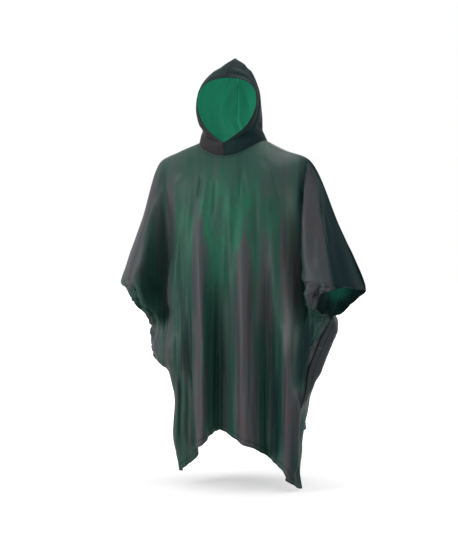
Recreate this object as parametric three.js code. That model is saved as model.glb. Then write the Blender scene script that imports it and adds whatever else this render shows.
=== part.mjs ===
// Hooded rain poncho, worn shape. Millimetres, +Z up, wearer faces -Y, wearer's left arm is at +X.
// The origin is the middle of the neck opening at shoulder height.

import * as THREE from "three";

// Sizes of the cloth
const WALL = 2.0; // thickness of every cloth wall
const SEAM_GAP = 0.3; // clear space between two pieces at a seam
const NECK_LIFT = 2.2; // hood's lower edge above the panels' neck edge

// Neck opening, shared by the panels and the hood
const NECK = {
  rightX: 104, // half widths at the shoulder seams
  leftX: 120,
  frontY: 100, // reach to the front and to the back
  backY: 90,
  sideZ: 20, // heights of the edge at the shoulder seams, throat and nape
  frontZ: -35,
  backZ: 32,
};

// Mesh density
const PANEL_COLUMNS = 56;
const PANEL_ROWS = 25;
const HOOD_COLUMNS = 14;
const HOOD_ROWS = 14;

// Snap button below each cuff
const SNAP = {
  down: 0.71, // place down the panel, as in the edge tables
  inset: 13, // from the panel's edge to the button's middle
  radius: 7,
  height: 2.4,
  clearance: 0.5, // space between the button and the cloth under it
  sides: 16,
};

// Share of a half panel's columns that lies between its centre line and each place across it
const COLUMN_SPREAD = [0, 0.208, 0.417, 0.617, 0.8, 0.91, 1];

const DEGREE = Math.PI / 180;

/** Turns rows of numbers into records with the given column names. */
function table(names, rows) {
  return rows.map((row) => Object.fromEntries(names.map((name, i) => [name, row[i]])));
}

// Side edges. down: share of the way from neck (0) to hem (1). The edge runs from the neck along the
// shoulder and arm to the tip, around the cuff, past the snap and down to the hem corner.
// inX, inY: where the cloth comes from, a short way in from the edge.
const EDGE_NAMES = ["down", "x", "y", "z", "inX", "inY"];

const FRONT_RIGHT_EDGE = table(EDGE_NAMES, [
  [0.0, 104, 0, 20, -4, -26], // neck
  [0.06, 173, 0, -15, -6, -30],
  [0.12, 245, 0, -44, -8, -32], // shoulder
  [0.24, 346, 0, -255, -16, -48],
  [0.36, 433, 0, -459, -34, -92], // tip
  [0.41, 388, -62, -450, -34, -60], // cuff
  [0.45, 347, -124, -462, -30, -26],
  [0.49, 320, -150, -486, -26, 6],
  [0.53, 311, -138, -514, -26, 26],
  [0.57, 321, -98, -536, -34, 14],
  [0.61, 332, -56, -552, -30, -6],
  [0.66, 306, -60, -600, -24, -14],
  [0.71, 287, -70, -650, -20, -14], // snap
  [0.77, 262, -68, -712, -20, -14],
  [0.84, 249, -56, -790, -22, -18],
  [0.92, 219, -56, -920, -22, -24],
  [1.0, 250, -84, -1078, -16, -34], // hem corner
]);

const FRONT_LEFT_EDGE = table(EDGE_NAMES, [
  [0.0, -120, 0, 20, 4, -26],
  [0.06, -196, 0, -8, 6, -30],
  [0.12, -260, 0, -38, 8, -32],
  [0.24, -324, 0, -228, 14, -48],
  [0.33, -383, 0, -386, 29, -78],
  [0.36, -400, 0, -438, 34, -88],
  [0.41, -360, -66, -458, 34, -56],
  [0.45, -322, -110, -490, 30, -24],
  [0.49, -290, -130, -516, 26, 4],
  [0.53, -268, -116, -540, 24, 16],
  [0.57, -277, -72, -560, 30, 4],
  [0.61, -290, -30, -590, 28, -20],
  [0.66, -293, -12, -640, 20, -30],
  [0.71, -279, -14, -688, 18, -30],
  [0.77, -218, -26, -728, 18, -26],
  [0.84, -182, -44, -800, 18, -24],
  [0.92, -156, -60, -905, 16, -22],
  [0.96, -161, -72, -975, 14, -24],
  [1.0, -152, -84, -1044, 12, -26],
]);

const BACK_RIGHT_EDGE = table(EDGE_NAMES, [
  [0.0, 104, 0, 20, -4, 24],
  [0.06, 173, 0, -15, -6, 30],
  [0.12, 245, 0, -44, -8, 32],
  [0.24, 346, 0, -255, -16, 46],
  [0.36, 433, 0, -459, -24, 66],
  [0.41, 408, 8, -482, -22, 52],
  [0.45, 386, 10, -503, -20, 46],
  [0.49, 368, 6, -521, -16, 42],
  [0.53, 355, -6, -534, -10, 42],
  [0.57, 338, -30, -543, -4, 38],
  [0.61, 334, -52, -554, 10, 26],
  [0.66, 309, -57, -601, 33, 24],
  [0.71, 289, -67, -651, 34, 24],
  [0.77, 266, -65, -712, 32, 28],
  [0.84, 251, -53, -790, 6, 30],
  [0.92, 218, -52, -915, -6, 30],
  [1.0, 240, -66, -1058, -10, 30],
]);

const BACK_LEFT_EDGE = table(EDGE_NAMES, [
  [0.0, -120, 0, 20, 4, 24],
  [0.06, -196, 0, -8, 6, 30],
  [0.12, -260, 0, -38, 8, 32],
  [0.24, -324, 0, -228, 14, 46],
  [0.33, -383, 0, -386, 21, 61],
  [0.36, -400, 0, -438, 24, 66],
  [0.41, -374, 10, -468, 22, 52],
  [0.45, -350, 14, -494, 20, 46],
  [0.49, -330, 14, -518, 16, 42],
  [0.53, -312, 8, -541, 10, 42],
  [0.57, -299, -6, -564, 6, 42],
  [0.61, -294, -24, -591, 8, 36],
  [0.66, -295, -8, -640, 12, 34],
  [0.71, -281, -10, -688, 12, 34],
  [0.77, -220, -22, -728, 10, 34],
  [0.84, -184, -40, -800, 6, 34],
  [0.92, -158, -56, -895, 2, 34],
  [0.96, -158, -60, -956, 2, 34],
  [1.0, -147, -66, -1016, 0, 34],
]);

// Sections across each panel, right half; the left half follows its own edge.
// middleY, middleZ: the panel's centre line. torso, pit and arm: where the cloth turns over the side
// of the chest, dips between body and arm, and passes over the arm. rise: how late the row climbs or
// falls from the centre height to the edge height.
const SECTION_NAMES = [
  "down", "middleY", "middleZ", "torsoX", "torsoY", "pitX", "pitY", "armX", "armY", "rise",
];

const FRONT_SECTIONS = table(SECTION_NAMES, [
  [0.0, -100, -35, 52, -87, 74, -71, 90, -50, 2.0],
  [0.06, -121, -78, 88, -106, 124, -86, 154, -58, 2.0],
  [0.12, -137, -134, 124, -122, 174, -98, 214, -64, 2.1],
  [0.18, -147, -192, 148, -128, 212, -84, 258, -68, 2.3],
  [0.24, -152, -252, 164, -132, 230, -56, 288, -90, 2.4],
  [0.36, -158, -372, 174, -136, 240, -30, 314, -138, 2.6],
  [0.45, -160, -462, 176, -136, 242, -28, 298, -136, 2.8],
  [0.53, -160, -530, 174, -138, 236, -48, 276, -102, 2.8],
  [0.61, -160, -592, 168, -136, 226, -86, 274, -76, 2.6],
  [0.71, -160, -672, 156, -138, 208, -110, 248, -94, 2.5],
  [0.84, -160, -778, 140, -142, 178, -122, 212, -102, 2.5],
  [1.0, -160, -912, 134, -146, 170, -134, 208, -118, 2.4],
]);

const BACK_SECTIONS = table(SECTION_NAMES, [
  [0.0, 90, 32, 52, 78, 74, 64, 90, 45, 2.0],
  [0.06, 112, -14, 88, 98, 124, 79, 154, 54, 2.0],
  [0.12, 126, -76, 124, 112, 174, 90, 214, 60, 2.1],
  [0.18, 134, -142, 148, 118, 212, 82, 258, 64, 2.3],
  [0.24, 140, -212, 164, 124, 232, 58, 290, 82, 2.4],
  [0.36, 146, -340, 176, 132, 248, 46, 330, 106, 2.6],
  [0.45, 150, -440, 178, 136, 254, 56, 324, 102, 2.8],
  [0.53, 152, -520, 176, 138, 252, 76, 314, 84, 2.8],
  [0.61, 154, -592, 170, 140, 246, 96, 324, 50, 2.6],
  [0.71, 156, -676, 158, 142, 226, 104, 294, 44, 2.5],
  [0.84, 158, -786, 142, 144, 190, 118, 236, 60, 3.4],
  [1.0, 160, -908, 134, 146, 172, 124, 212, 74, 5.5],
]);

// Hanging folds. topX, hemX: where the crest is at the start and at the hem. startZ: where it begins.
// fullZ: where it has its whole height. width: half width. height: out from the cloth (in if negative).
// drop: how much lower the hem hangs there. lean: how far the crest lies over to the right.
const FOLD_NAMES = ["topX", "hemX", "startZ", "fullZ", "width", "height", "drop", "lean"];

const FRONT_FOLDS = table(FOLD_NAMES, [
  [-126, -112, -200, -700, 19, -36, 0, 0],
  [-76, -66, -110, -640, 27, 50, 20, 34],
  [16, 10, -240, -720, 29, -56, -8, -24],
  [74, 92, -100, -700, 34, 48, 14, 6],
  [146, 160, -160, -640, 24, -48, 10, 0],
  [190, 206, -220, -700, 22, 34, 0, 4],
  [-214, -150, -160, -520, 20, 16, 0, 0],
  [30, 52, -90, -300, 12, 8, 0, 0],
  [-100, -150, -80, -260, 14, 8, 0, 0],
  [112, 128, -80, -280, 14, -9, 0, 0],
  [-128, -126, -640, -880, 16, 0, 9, 0],
  [130, 134, -640, -880, 20, 0, 16, 0],
  [204, 206, -640, -880, 13, 0, 11, 0],
]);

const BACK_FOLDS = table(FOLD_NAMES, [
  [-180, -128, -240, -760, 22, 22, 0, 0],
  [-134, -92, -160, -680, 22, -40, 0, 0],
  [-84, -50, -110, -640, 26, 44, 6, -14],
  [-22, -6, -180, -700, 23, -46, -4, 0],
  [40, 40, -120, -660, 26, 44, 6, 12],
  [96, 90, -180, -700, 23, -46, -2, 0],
  [150, 144, -150, -700, 27, 42, 4, 10],
  [204, 196, -240, -740, 22, -30, 0, 0],
  [-6, -30, -80, -260, 16, -8, 0, 0],
  [120, 160, -80, -280, 16, 8, 0, 0],
]);

// Hood, right half. The face edge runs from the throat seam (0) to the crown (1).
const FACE_EDGE = table(["along", "x", "y", "z"], [
  [0.0, 0, -100, -35],
  [0.1, 0, -114, 2],
  [0.18, 20, -112, 18],
  [0.27, 46, -107, 38],
  [0.37, 70, -98, 64],
  [0.48, 89, -88, 101],
  [0.59, 97, -80, 138],
  [0.67, 95, -77, 164],
  [0.77, 79, -76, 193],
  [0.85, 54, -78, 209],
  [0.94, 20, -81, 216],
  [1.0, 0, -82, 217],
]);

// Crown seam, from the face edge (0) back over the point, and back seam, from the nape (0) up.
const CROWN_SEAM = table(["along", "y", "z"], [
  [0.0, -82, 217],
  [0.25, -46, 262],
  [0.45, -6, 290],
  [0.7, 50, 276],
  [1.0, 98, 224],
]);

const BACK_SEAM = table(["along", "y", "z"], [
  [0.0, 90, 32],
  [0.3, 102, 84],
  [0.65, 112, 150],
  [1.0, 98, 224],
]);

// The head's pose: the hood turns and leans a little above the neck seam.
const HEAD = {
  turn: 8, // degrees, towards the wearer's left
  leanX: -13, // sideways shift
  fullUp: 0.45, // share up the hood where the turn and the shift are complete
  straightZ: [215, 290], // the shift dies out again between these heights, up to the point
};

/** Smooth value of one column at a place along a table; never swings past its rows. */
function read(rows, key, column, at) {
  let i = 0;
  while (i < rows.length - 2 && at > rows[i + 1][key]) i += 1;
  const step = (k) => rows[k + 1][key] - rows[k][key];
  const slope = (k) => (rows[k + 1][column] - rows[k][column]) / step(k);
  const bend = (k) => {
    if (k === 0) return slope(0);
    if (k === rows.length - 1) return slope(k - 1);
    const before = slope(k - 1);
    const after = slope(k);
    return before * after <= 0 ? 0 : (2 * before * after) / (before + after);
  };
  const h = step(i);
  const s = Math.min(1, Math.max(0, (at - rows[i][key]) / h));
  const keep = (1 + 2 * s) * (1 - s) * (1 - s);
  const start = s * (1 - s) * (1 - s) * h * bend(i);
  const end = s * s * (s - 1) * h * bend(i + 1);
  return keep * rows[i][column] + start + (1 - keep) * rows[i + 1][column] + end;
}

/** Value between a and b at share s. */
function mix(a, b, s) {
  return a + (b - a) * s;
}

/** Smooth climb from 0 to 1 while at goes from start to end. */
function ramp(start, end, at) {
  const s = Math.min(1, Math.max(0, (at - start) / (end - start)));
  return s * s * (3 - 2 * s);
}

/** Curve through equally spaced points; place 0 is the first point, place 1 the next, and so on. */
function throughPoints(points, place) {
  const i = Math.min(points.length - 2, Math.max(0, Math.floor(place)));
  const s = place - i;
  const at = (k) => {
    if (k < 0) return points[0].clone().multiplyScalar(2).sub(points[1]);
    if (k >= points.length) {
      return points[k - 1].clone().multiplyScalar(2).sub(points[k - 2]);
    }
    return points[k];
  };
  const [a, b, c, d] = [at(i - 1), at(i), at(i + 1), at(i + 2)];
  const blend = (p, q, r, t) =>
    0.5 * (2 * q + (r - p) * s + (2 * p - 5 * q + 4 * r - t) * s * s + (3 * q - p - 3 * r + t) * s ** 3);
  return new THREE.Vector2(blend(a.x, b.x, c.x, d.x), blend(a.y, b.y, c.y, d.y));
}

/** A panel: its sections, its two side edges, its folds, and the side it faces (-1 front, 1 back). */
function makePanel(sections, rightEdge, leftEdge, folds, facing) {
  return { sections, rightEdge, leftEdge, folds, facing };
}

/** Half of one section as plan points, from next to the centre line out to the edge. */
function halfSection(panel, down, sign) {
  const get = (column) => read(panel.sections, "down", column, down);
  const edgeRows = sign > 0 ? panel.rightEdge : panel.leftEdge;
  const edge = (column) => read(edgeRows, "down", column, down);
  const reach = Math.abs(edge("x")) / Math.abs(read(panel.rightEdge, "down", "x", down));
  const at = (x, y) => new THREE.Vector2(sign * reach * x, y);
  return [
    at(get("torsoX") * 0.54, mix(get("middleY"), get("torsoY"), 0.26)),
    at(get("torsoX"), get("torsoY")),
    at(get("pitX"), get("pitY")),
    at(get("armX"), get("armY")),
    new THREE.Vector2(edge("x") + edge("inX"), edge("y") + edge("inY")),
    new THREE.Vector2(edge("x"), edge("y")),
  ];
}

/** Point of the panel without its folds. across: -1 left edge, 1 right edge. */
function plainPoint(panel, across, down) {
  const middle = new THREE.Vector2(0, read(panel.sections, "down", "middleY", down));
  const right = halfSection(panel, down, 1);
  const left = halfSection(panel, down, -1).reverse();
  const plan = throughPoints([...left, middle, ...right], 6 + 6 * across);
  const edgeRows = across > 0 ? panel.rightEdge : panel.leftEdge;
  const middleZ = read(panel.sections, "down", "middleZ", down);
  const edgeZ = read(edgeRows, "down", "z", down);
  const rise = read(panel.sections, "down", "rise", down);
  const share = Math.sin(90 * DEGREE * Math.abs(across)) ** rise;
  return new THREE.Vector3(plan.x, plan.y, mix(middleZ, edgeZ, share));
}

/** How far the folds push the cloth out, let it hang down and lay it over to the side, at a point. */
function foldRelief(panel, across, point) {
  const hemZ = -920;
  let height = 0;
  let drop = 0;
  let lean = 0;
  for (const fold of panel.folds) {
    const fall = Math.min(1, Math.max(0, (point.z - fold.startZ) / (hemZ - fold.startZ)));
    const crestX = mix(fold.topX, fold.hemX, fall);
    const grown = ramp(fold.startZ, fold.fullZ, point.z);
    const off = (point.x - crestX) / fold.width;
    const bump = grown * Math.exp(-off * off);
    height += fold.height * bump;
    drop += fold.drop * bump * ramp(-700, hemZ, point.z);
    lean += fold.lean * bump;
  }
  const fade = 1 - ramp(0.78, 0.96, Math.abs(across));
  return { height: height * fade, drop: drop * fade, lean: lean * fade };
}

/** Point of the finished panel. */
function panelPoint(panel, across, down) {
  const point = plainPoint(panel, across, down);
  const step = 0.004;
  const ahead = plainPoint(panel, Math.min(1, across + step), down);
  const behind = plainPoint(panel, Math.max(-1, across - step), down);
  const out = new THREE.Vector2(ahead.y - behind.y, behind.x - ahead.x).normalize();
  if (panel.facing > 0) out.negate();
  const { height, drop, lean } = foldRelief(panel, across, point);
  point.x += out.x * height + lean;
  point.y += out.y * height;
  point.z -= drop;
  return point;
}

/** Point on the neck opening's edge. turn: 0 at the throat, 90 at the shoulder, 180 at the nape. */
function neckPoint(turn, sign) {
  const half = sign > 0 ? NECK.rightX : NECK.leftX;
  const front = turn < 90;
  const side = Math.sin(turn * DEGREE);
  const y = -Math.cos(turn * DEGREE) * (front ? NECK.frontY : NECK.backY);
  const z = mix(front ? NECK.frontZ : NECK.backZ, NECK.sideZ, side * side);
  return new THREE.Vector3(sign * half * side, y, z);
}

/** Moves a point of the upright hood to the head's pose. */
function poseHead(point, up) {
  const share = ramp(0, HEAD.fullUp, up);
  const turn = HEAD.turn * DEGREE * share;
  const lean = HEAD.leanX * share * (1 - ramp(...HEAD.straightZ, point.z));
  const x = point.x * Math.cos(turn) - point.y * Math.sin(turn) + lean;
  const y = point.x * Math.sin(turn) + point.y * Math.cos(turn);
  return new THREE.Vector3(x, y, point.z);
}

/** Point of the hood's half. back: 0 face edge, 1 back and crown seam. up: 0 neck, 1 crown seam. */
function hoodPoint(sign, back, up) {
  const face = (column) => read(FACE_EDGE, "along", column, up);
  const crown = (column) => read(CROWN_SEAM, "along", column, back);
  const nape = (column) => read(BACK_SEAM, "along", column, up);
  const neck = neckPoint(180 * back, sign);
  const corner = { y: read(FACE_EDGE, "along", "y", 0), z: read(FACE_EDGE, "along", "z", 0) };
  const topFront = read(CROWN_SEAM, "along", "y", 0);
  const patch = (left, right, bottom, top, c00, c10, c01, c11) =>
    mix(left, right, back) + mix(bottom, top, up) - mix(mix(c00, c10, back), mix(c01, c11, back), up);
  const y = patch(
    face("y"), nape("y"), neck.y, crown("y"),
    corner.y, NECK.backY, topFront, CROWN_SEAM.at(-1).y,
  );
  const z = patch(
    face("z"), nape("z"), neck.z, crown("z"),
    corner.z, NECK.backZ, CROWN_SEAM[0].z, CROWN_SEAM.at(-1).z,
  );
  const round = Math.sin(180 * DEGREE * back) * Math.sin(180 * DEGREE * up);
  const x = Math.abs(neck.x) * (1 - up) + face("x") * (1 - back) - (2 + 10 * up) * round;
  return new THREE.Vector3(sign * x, y, z + NECK_LIFT * (1 - up));
}

/**
 * Outer and inner faces of a cloth wall around a grid of points. flat(i, j) names the axis its rim
 * must stay square to; pose(point, i) moves each finished point of row i.
 */
function wallFaces(grid, outward, flat, pose) {
  const rows = grid.length;
  const columns = grid[0].length;
  const normalAt = (i, j) => {
    const along = grid[i][Math.min(columns - 1, j + 1)].clone().sub(grid[i][Math.max(0, j - 1)]);
    const down = grid[Math.min(rows - 1, i + 1)][j].clone().sub(grid[Math.max(0, i - 1)][j]);
    const normal = down.cross(along).multiplyScalar(outward);
    const axis = flat(i, j);
    if (axis) normal[axis] = 0;
    return normal.normalize();
  };
  const moved = (side) =>
    grid.map((row, i) =>
      row.map((point, j) => pose(point.clone().addScaledVector(normalAt(i, j), (side * WALL) / 2), i)),
    );
  return { outer: moved(1), inner: moved(-1), outward };
}

/** Closed cloth wall from its outer and inner faces. */
function clothWall({ outer, inner, outward }) {
  const rows = outer.length;
  const columns = outer[0].length;
  const positions = [...outer.flat(), ...inner.flat()].flatMap((point) => point.toArray());
  const out = (i, j) => i * columns + j;
  const inn = (i, j) => (rows + i) * columns + j;
  const indices = [];
  const quad = (a, b, c, d) => {
    if (outward > 0) indices.push(a, b, c, a, c, d);
    else indices.push(a, c, b, a, d, c);
  };
  for (let i = 0; i < rows - 1; i += 1) {
    for (let j = 0; j < columns - 1; j += 1) {
      quad(out(i, j), out(i + 1, j), out(i + 1, j + 1), out(i, j + 1));
      quad(inn(i, j), inn(i, j + 1), inn(i + 1, j + 1), inn(i + 1, j));
    }
  }
  const last = { row: rows - 1, column: columns - 1 };
  for (let j = 0; j < columns - 1; j += 1) {
    quad(out(0, j), out(0, j + 1), inn(0, j + 1), inn(0, j));
    quad(out(last.row, j + 1), out(last.row, j), inn(last.row, j), inn(last.row, j + 1));
  }
  for (let i = 0; i < rows - 1; i += 1) {
    quad(out(i + 1, 0), out(i, 0), inn(i, 0), inn(i + 1, 0));
    quad(out(i, last.column), out(i + 1, last.column), inn(i + 1, last.column), inn(i, last.column));
  }
  return solid(positions, indices);
}

/** Geometry from a flat list of coordinates and a list of triangle corners. */
function solid(positions, indices) {
  const geometry = new THREE.BufferGeometry();
  geometry.setAttribute("position", new THREE.Float32BufferAttribute(positions, 3));
  geometry.setIndex(indices);
  geometry.computeVertexNormals();
  return geometry;
}

/** Even steps from a to b, both ends included. */
function steps(count, a, b) {
  return Array.from({ length: count + 1 }, (_, i) => mix(a, b, i / count));
}

const TIP_DOWN = 0.36;

/** Places down the panel; one row falls exactly on the sleeve tip. */
function panelRows() {
  const above = Math.round(PANEL_ROWS * TIP_DOWN);
  return [...steps(above, 0, TIP_DOWN), ...steps(PANEL_ROWS - above, TIP_DOWN, 1).slice(1)];
}

/** Places across the panel, from the left edge (-1) to the right edge (1). */
function panelColumns() {
  const spread = COLUMN_SPREAD.map((share, k) => ({ share, across: k / (COLUMN_SPREAD.length - 1) }));
  return steps(PANEL_COLUMNS, -1, 1).map(
    (place) => Math.sign(place) * read(spread, "share", "across", Math.abs(place)),
  );
}

/** Faces of the front or back panel. */
function panelFaces(panel) {
  const downs = panelRows();
  const acrosses = panelColumns();
  const onShoulder = (i) => downs[i] <= TIP_DOWN + 1e-6;
  const grid = downs.map((down, i) =>
    acrosses.map((across) => {
      const point = panelPoint(panel, across, down);
      const atEdge = Math.abs(across) > 1 - 1e-6;
      if (atEdge && onShoulder(i)) point.y = (panel.facing * SEAM_GAP) / 2;
      return point;
    }),
  );
  const flat = (i, j) => ((j === 0 || j === PANEL_COLUMNS) && onShoulder(i) ? "y" : null);
  return wallFaces(grid, panel.facing > 0 ? -1 : 1, flat, (point) => point);
}

/** Faces of the right (1) or left (-1) half of the hood. */
function hoodFaces(sign) {
  const ups = steps(HOOD_ROWS, 0, 1);
  const backs = steps(HOOD_COLUMNS, 0, 1);
  const throat = FACE_EDGE[1].along;
  const onSeam = (i, j) => i === HOOD_ROWS || j === HOOD_COLUMNS || (j === 0 && ups[i] <= throat);
  const grid = ups.map((up, i) =>
    backs.map((back, j) => {
      const point = hoodPoint(sign, back, up);
      if (onSeam(i, j)) point.x = (sign * SEAM_GAP) / 2;
      return point;
    }),
  );
  const flat = (i, j) => (onSeam(i, j) ? "x" : null);
  return wallFaces(grid, -sign, flat, (point, i) => poseHead(point, ups[i]));
}

/** Point of a face between its grid points. */
function facePoint(face, row, column) {
  const i = Math.min(face.length - 2, Math.floor(row));
  const j = Math.min(face[0].length - 2, Math.floor(column));
  const upper = face[i][j].clone().lerp(face[i][j + 1], column - j);
  const lower = face[i + 1][j].clone().lerp(face[i + 1][j + 1], column - j);
  return upper.lerp(lower, row - i);
}

/** Snap button on a panel's outer face at one side edge: a shallow dome that follows the cloth. */
function buildSnap(faces, sign) {
  const face = faces.outer;
  const row = panelRows().findIndex((down) => down > SNAP.down) - 0.5;
  const edge = sign > 0 ? face[0].length - 1 : 0;
  let column = edge;
  const start = facePoint(face, row, edge);
  while (facePoint(face, row, column).distanceTo(start) < SNAP.inset) column -= 0.02 * sign;
  const middle = facePoint(face, row, column);
  const perRow = facePoint(face, row + 0.3, column).sub(facePoint(face, row - 0.3, column));
  const perColumn = facePoint(face, row, column + 0.3).sub(facePoint(face, row, column - 0.3));
  const out = perRow.clone().cross(perColumn).multiplyScalar(faces.outward).normalize();
  const rowSize = perRow.length() / 0.6;
  const columnSize = perColumn.length() / 0.6;
  const ring = (radius, lift) =>
    steps(SNAP.sides, 0, 360).slice(1).map((turn) => {
      const across = (radius * Math.cos(turn * DEGREE)) / columnSize;
      const down = (radius * Math.sin(turn * DEGREE)) / rowSize;
      return facePoint(face, row + down, column + across).addScaledVector(out, lift);
    });
  const low = SNAP.clearance;
  const high = low + SNAP.height;
  const rings = [ring(SNAP.radius, low), ring(SNAP.radius, low + 0.5 * SNAP.height), ring(0.7 * SNAP.radius, high)];
  const centres = [low, high].map((lift) => middle.clone().addScaledVector(out, lift));
  const positions = [...rings.flat(), ...centres].flatMap((point) => point.toArray());
  const indices = [];
  const add = (a, b, c) => indices.push(...(faces.outward > 0 ? [a, b, c] : [a, c, b]));
  const n = SNAP.sides;
  for (let k = 0; k < n; k += 1) {
    const next = (k + 1) % n;
    add(3 * n, k, next);
    add(3 * n + 1, 2 * n + next, 2 * n + k);
    for (const low of [0, n]) {
      add(low + k, low + n + k, low + next);
      add(low + next, low + n + k, low + n + next);
    }
  }
  return solid(positions, indices);
}

const FRONT = makePanel(FRONT_SECTIONS, FRONT_RIGHT_EDGE, FRONT_LEFT_EDGE, FRONT_FOLDS, -1);
const BACK = makePanel(BACK_SECTIONS, BACK_RIGHT_EDGE, BACK_LEFT_EDGE, BACK_FOLDS, 1);

/** Adds a named mesh with its own material to the group. */
function addPiece(group, name, geometry, colour, roughness) {
  const material = new THREE.MeshStandardMaterial({ color: colour, roughness, metalness: 0 });
  const mesh = new THREE.Mesh(geometry, material);
  mesh.name = name;
  group.add(mesh);
}

const frontFaces = panelFaces(FRONT);
const backFaces = panelFaces(BACK);

const group = new THREE.Group();
addPiece(group, "front_panel", clothWall(frontFaces), 0x2f5244, 0.42);
addPiece(group, "back_panel", clothWall(backFaces), 0x2f5244, 0.42);
addPiece(group, "hood_right", clothWall(hoodFaces(1)), 0x35403f, 0.45);
addPiece(group, "hood_left", clothWall(hoodFaces(-1)), 0x35403f, 0.45);
addPiece(group, "snap_front_right", buildSnap(frontFaces, 1), 0x1b211f, 0.35);
addPiece(group, "snap_front_left", buildSnap(frontFaces, -1), 0x1b211f, 0.35);
addPiece(group, "snap_back_right", buildSnap(backFaces, 1), 0x1b211f, 0.35);
addPiece(group, "snap_back_left", buildSnap(backFaces, -1), 0x1b211f, 0.35);

export default group;
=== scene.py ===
"""Hooded rain poncho in its worn shape, dressed over its plain CAD bodies.

Metres, +Z up, the front faces -Y, right and left as seen from the front. The tables of sizes are in
millimetres and are scaled when a mesh is made.
"""
import logging
import math
from dataclasses import dataclass
from enum import Enum
from typing import Any

import bpy
import numpy as np
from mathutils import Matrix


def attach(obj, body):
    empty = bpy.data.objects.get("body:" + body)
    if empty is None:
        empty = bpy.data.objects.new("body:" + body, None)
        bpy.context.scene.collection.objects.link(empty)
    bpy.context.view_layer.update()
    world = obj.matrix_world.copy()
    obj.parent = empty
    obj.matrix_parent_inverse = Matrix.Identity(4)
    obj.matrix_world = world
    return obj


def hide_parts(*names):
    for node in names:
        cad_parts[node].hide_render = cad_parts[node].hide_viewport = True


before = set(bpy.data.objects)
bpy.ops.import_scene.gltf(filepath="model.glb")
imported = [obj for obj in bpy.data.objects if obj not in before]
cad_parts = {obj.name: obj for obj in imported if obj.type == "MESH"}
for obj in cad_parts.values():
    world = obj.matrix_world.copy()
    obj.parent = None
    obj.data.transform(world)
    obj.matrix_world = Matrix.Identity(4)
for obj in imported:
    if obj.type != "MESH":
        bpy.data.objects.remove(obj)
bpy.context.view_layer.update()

MM = 0.001
Array = np.ndarray
log = logging.getLogger("poncho")


class Facing(Enum):
    """Which way a panel faces."""

    FRONT = -1
    BACK = 1


class Hand(Enum):
    """Side of the poncho as seen from the front."""

    RIGHT = 1
    LEFT = -1


# Sizes shared by the pieces, in millimetres

WALL = 1.2
SEAM_GAP = 0.3
CLOSED_GAP = 0.05
TIP_DOWN = 0.36
HEM_Z = -920.0


@dataclass(frozen=True)
class NeckLine:
    """Neck opening, shared by the panels and the hood."""

    right_x: float = 104.0
    left_x: float = 120.0
    front_y: float = 100.0
    back_y: float = 90.0
    side_z: float = 20.0
    front_z: float = -35.0
    back_z: float = 32.0
    hood_lift: float = 0.42

    def point(self, turn: Array, hand: Hand) -> Array:
        """Points of the neck edge: an ellipse in plan whose height swings between throat, side and nape.

        Args:
            turn: Degrees from the throat, 90 at the shoulder, 180 at the nape.
            hand: Side of the poncho.

        Returns:
            Points, last axis x, y, z.
        """
        half = self.right_x if hand is Hand.RIGHT else self.left_x
        side = np.sin(np.radians(turn))
        front = turn < 90
        y = -np.cos(np.radians(turn)) * np.where(front, self.front_y, self.back_y)
        z = mix(np.where(front, self.front_z, self.back_z), self.side_z, side**2)
        return np.stack([hand.value * half * side, y, z], -1)


@dataclass(frozen=True)
class Table:
    """Rows of sizes with named columns; the first column is the place along the row order."""

    names: tuple[str, ...]
    rows: tuple[tuple[float, ...], ...]

    def column(self, name: str) -> Array:
        """One column as an array."""
        return np.array([row[self.names.index(name)] for row in self.rows], float)

    def read(self, name: str, at: Array) -> Array:
        """Smooth value of a column between its rows, which never swings past them.

        A cubic runs from row to row. Its slope at a row is the harmonic mean of the slopes on both
        sides, and 0 where the column turns.

        Args:
            name: Column to read.
            at: Places along the first column.

        Returns:
            Values, in the form of at.
        """
        key, value = self.column(self.names[0]), self.column(name)
        step = np.diff(key)
        slope = np.diff(value) / step
        before, after = slope[:-1], slope[1:]
        total = np.where(before + after == 0, 1.0, before + after)
        turn = np.where(before * after <= 0, 0.0, 2 * before * after / total)
        bend = np.concatenate([slope[:1], turn, slope[-1:]])
        i = np.clip(np.searchsorted(key, at, side="right") - 1, 0, len(step) - 1)
        s = np.clip((at - key[i]) / step[i], 0, 1)
        keep = (1 + 2 * s) * (1 - s) ** 2
        ease = s * (1 - s) ** 2 * step[i] * bend[i] + s**2 * (s - 1) * step[i] * bend[i + 1]
        return keep * value[i] + (1 - keep) * value[i + 1] + ease


def mix(a: Any, b: Any, s: Any) -> Any:
    """Value between a and b at share s."""
    return a + (b - a) * s


def ramp(start: float, end: float, at: Array) -> Array:
    """Smooth climb from 0 to 1 while at goes from start to end."""
    s = np.clip((at - start) / (end - start), 0, 1)
    return s * s * (3 - 2 * s)


def through_points(points: Array, place: Array) -> Array:
    """Catmull-Rom curves through equally spaced points.

    Args:
        points: Rows of curve points, shape (rows, points, 2).
        place: Places along every curve, 0 at the first point, 1 at the next.

    Returns:
        Points of the curves, shape (rows, places, 2).
    """
    first = 2 * points[:, :1] - points[:, 1:2]
    last = 2 * points[:, -1:] - points[:, -2:-1]
    padded = np.concatenate([first, points, last], axis=1)
    i = np.clip(np.floor(place).astype(int), 0, points.shape[1] - 2)
    s = (place - i)[None, :, None]
    a, b, c, d = (padded[:, i + k] for k in range(4))
    return 0.5 * (2 * b + (c - a) * s + (2 * a - 5 * b + 4 * c - d) * s**2 + (3 * b - a - 3 * c + d) * s**3)


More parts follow.
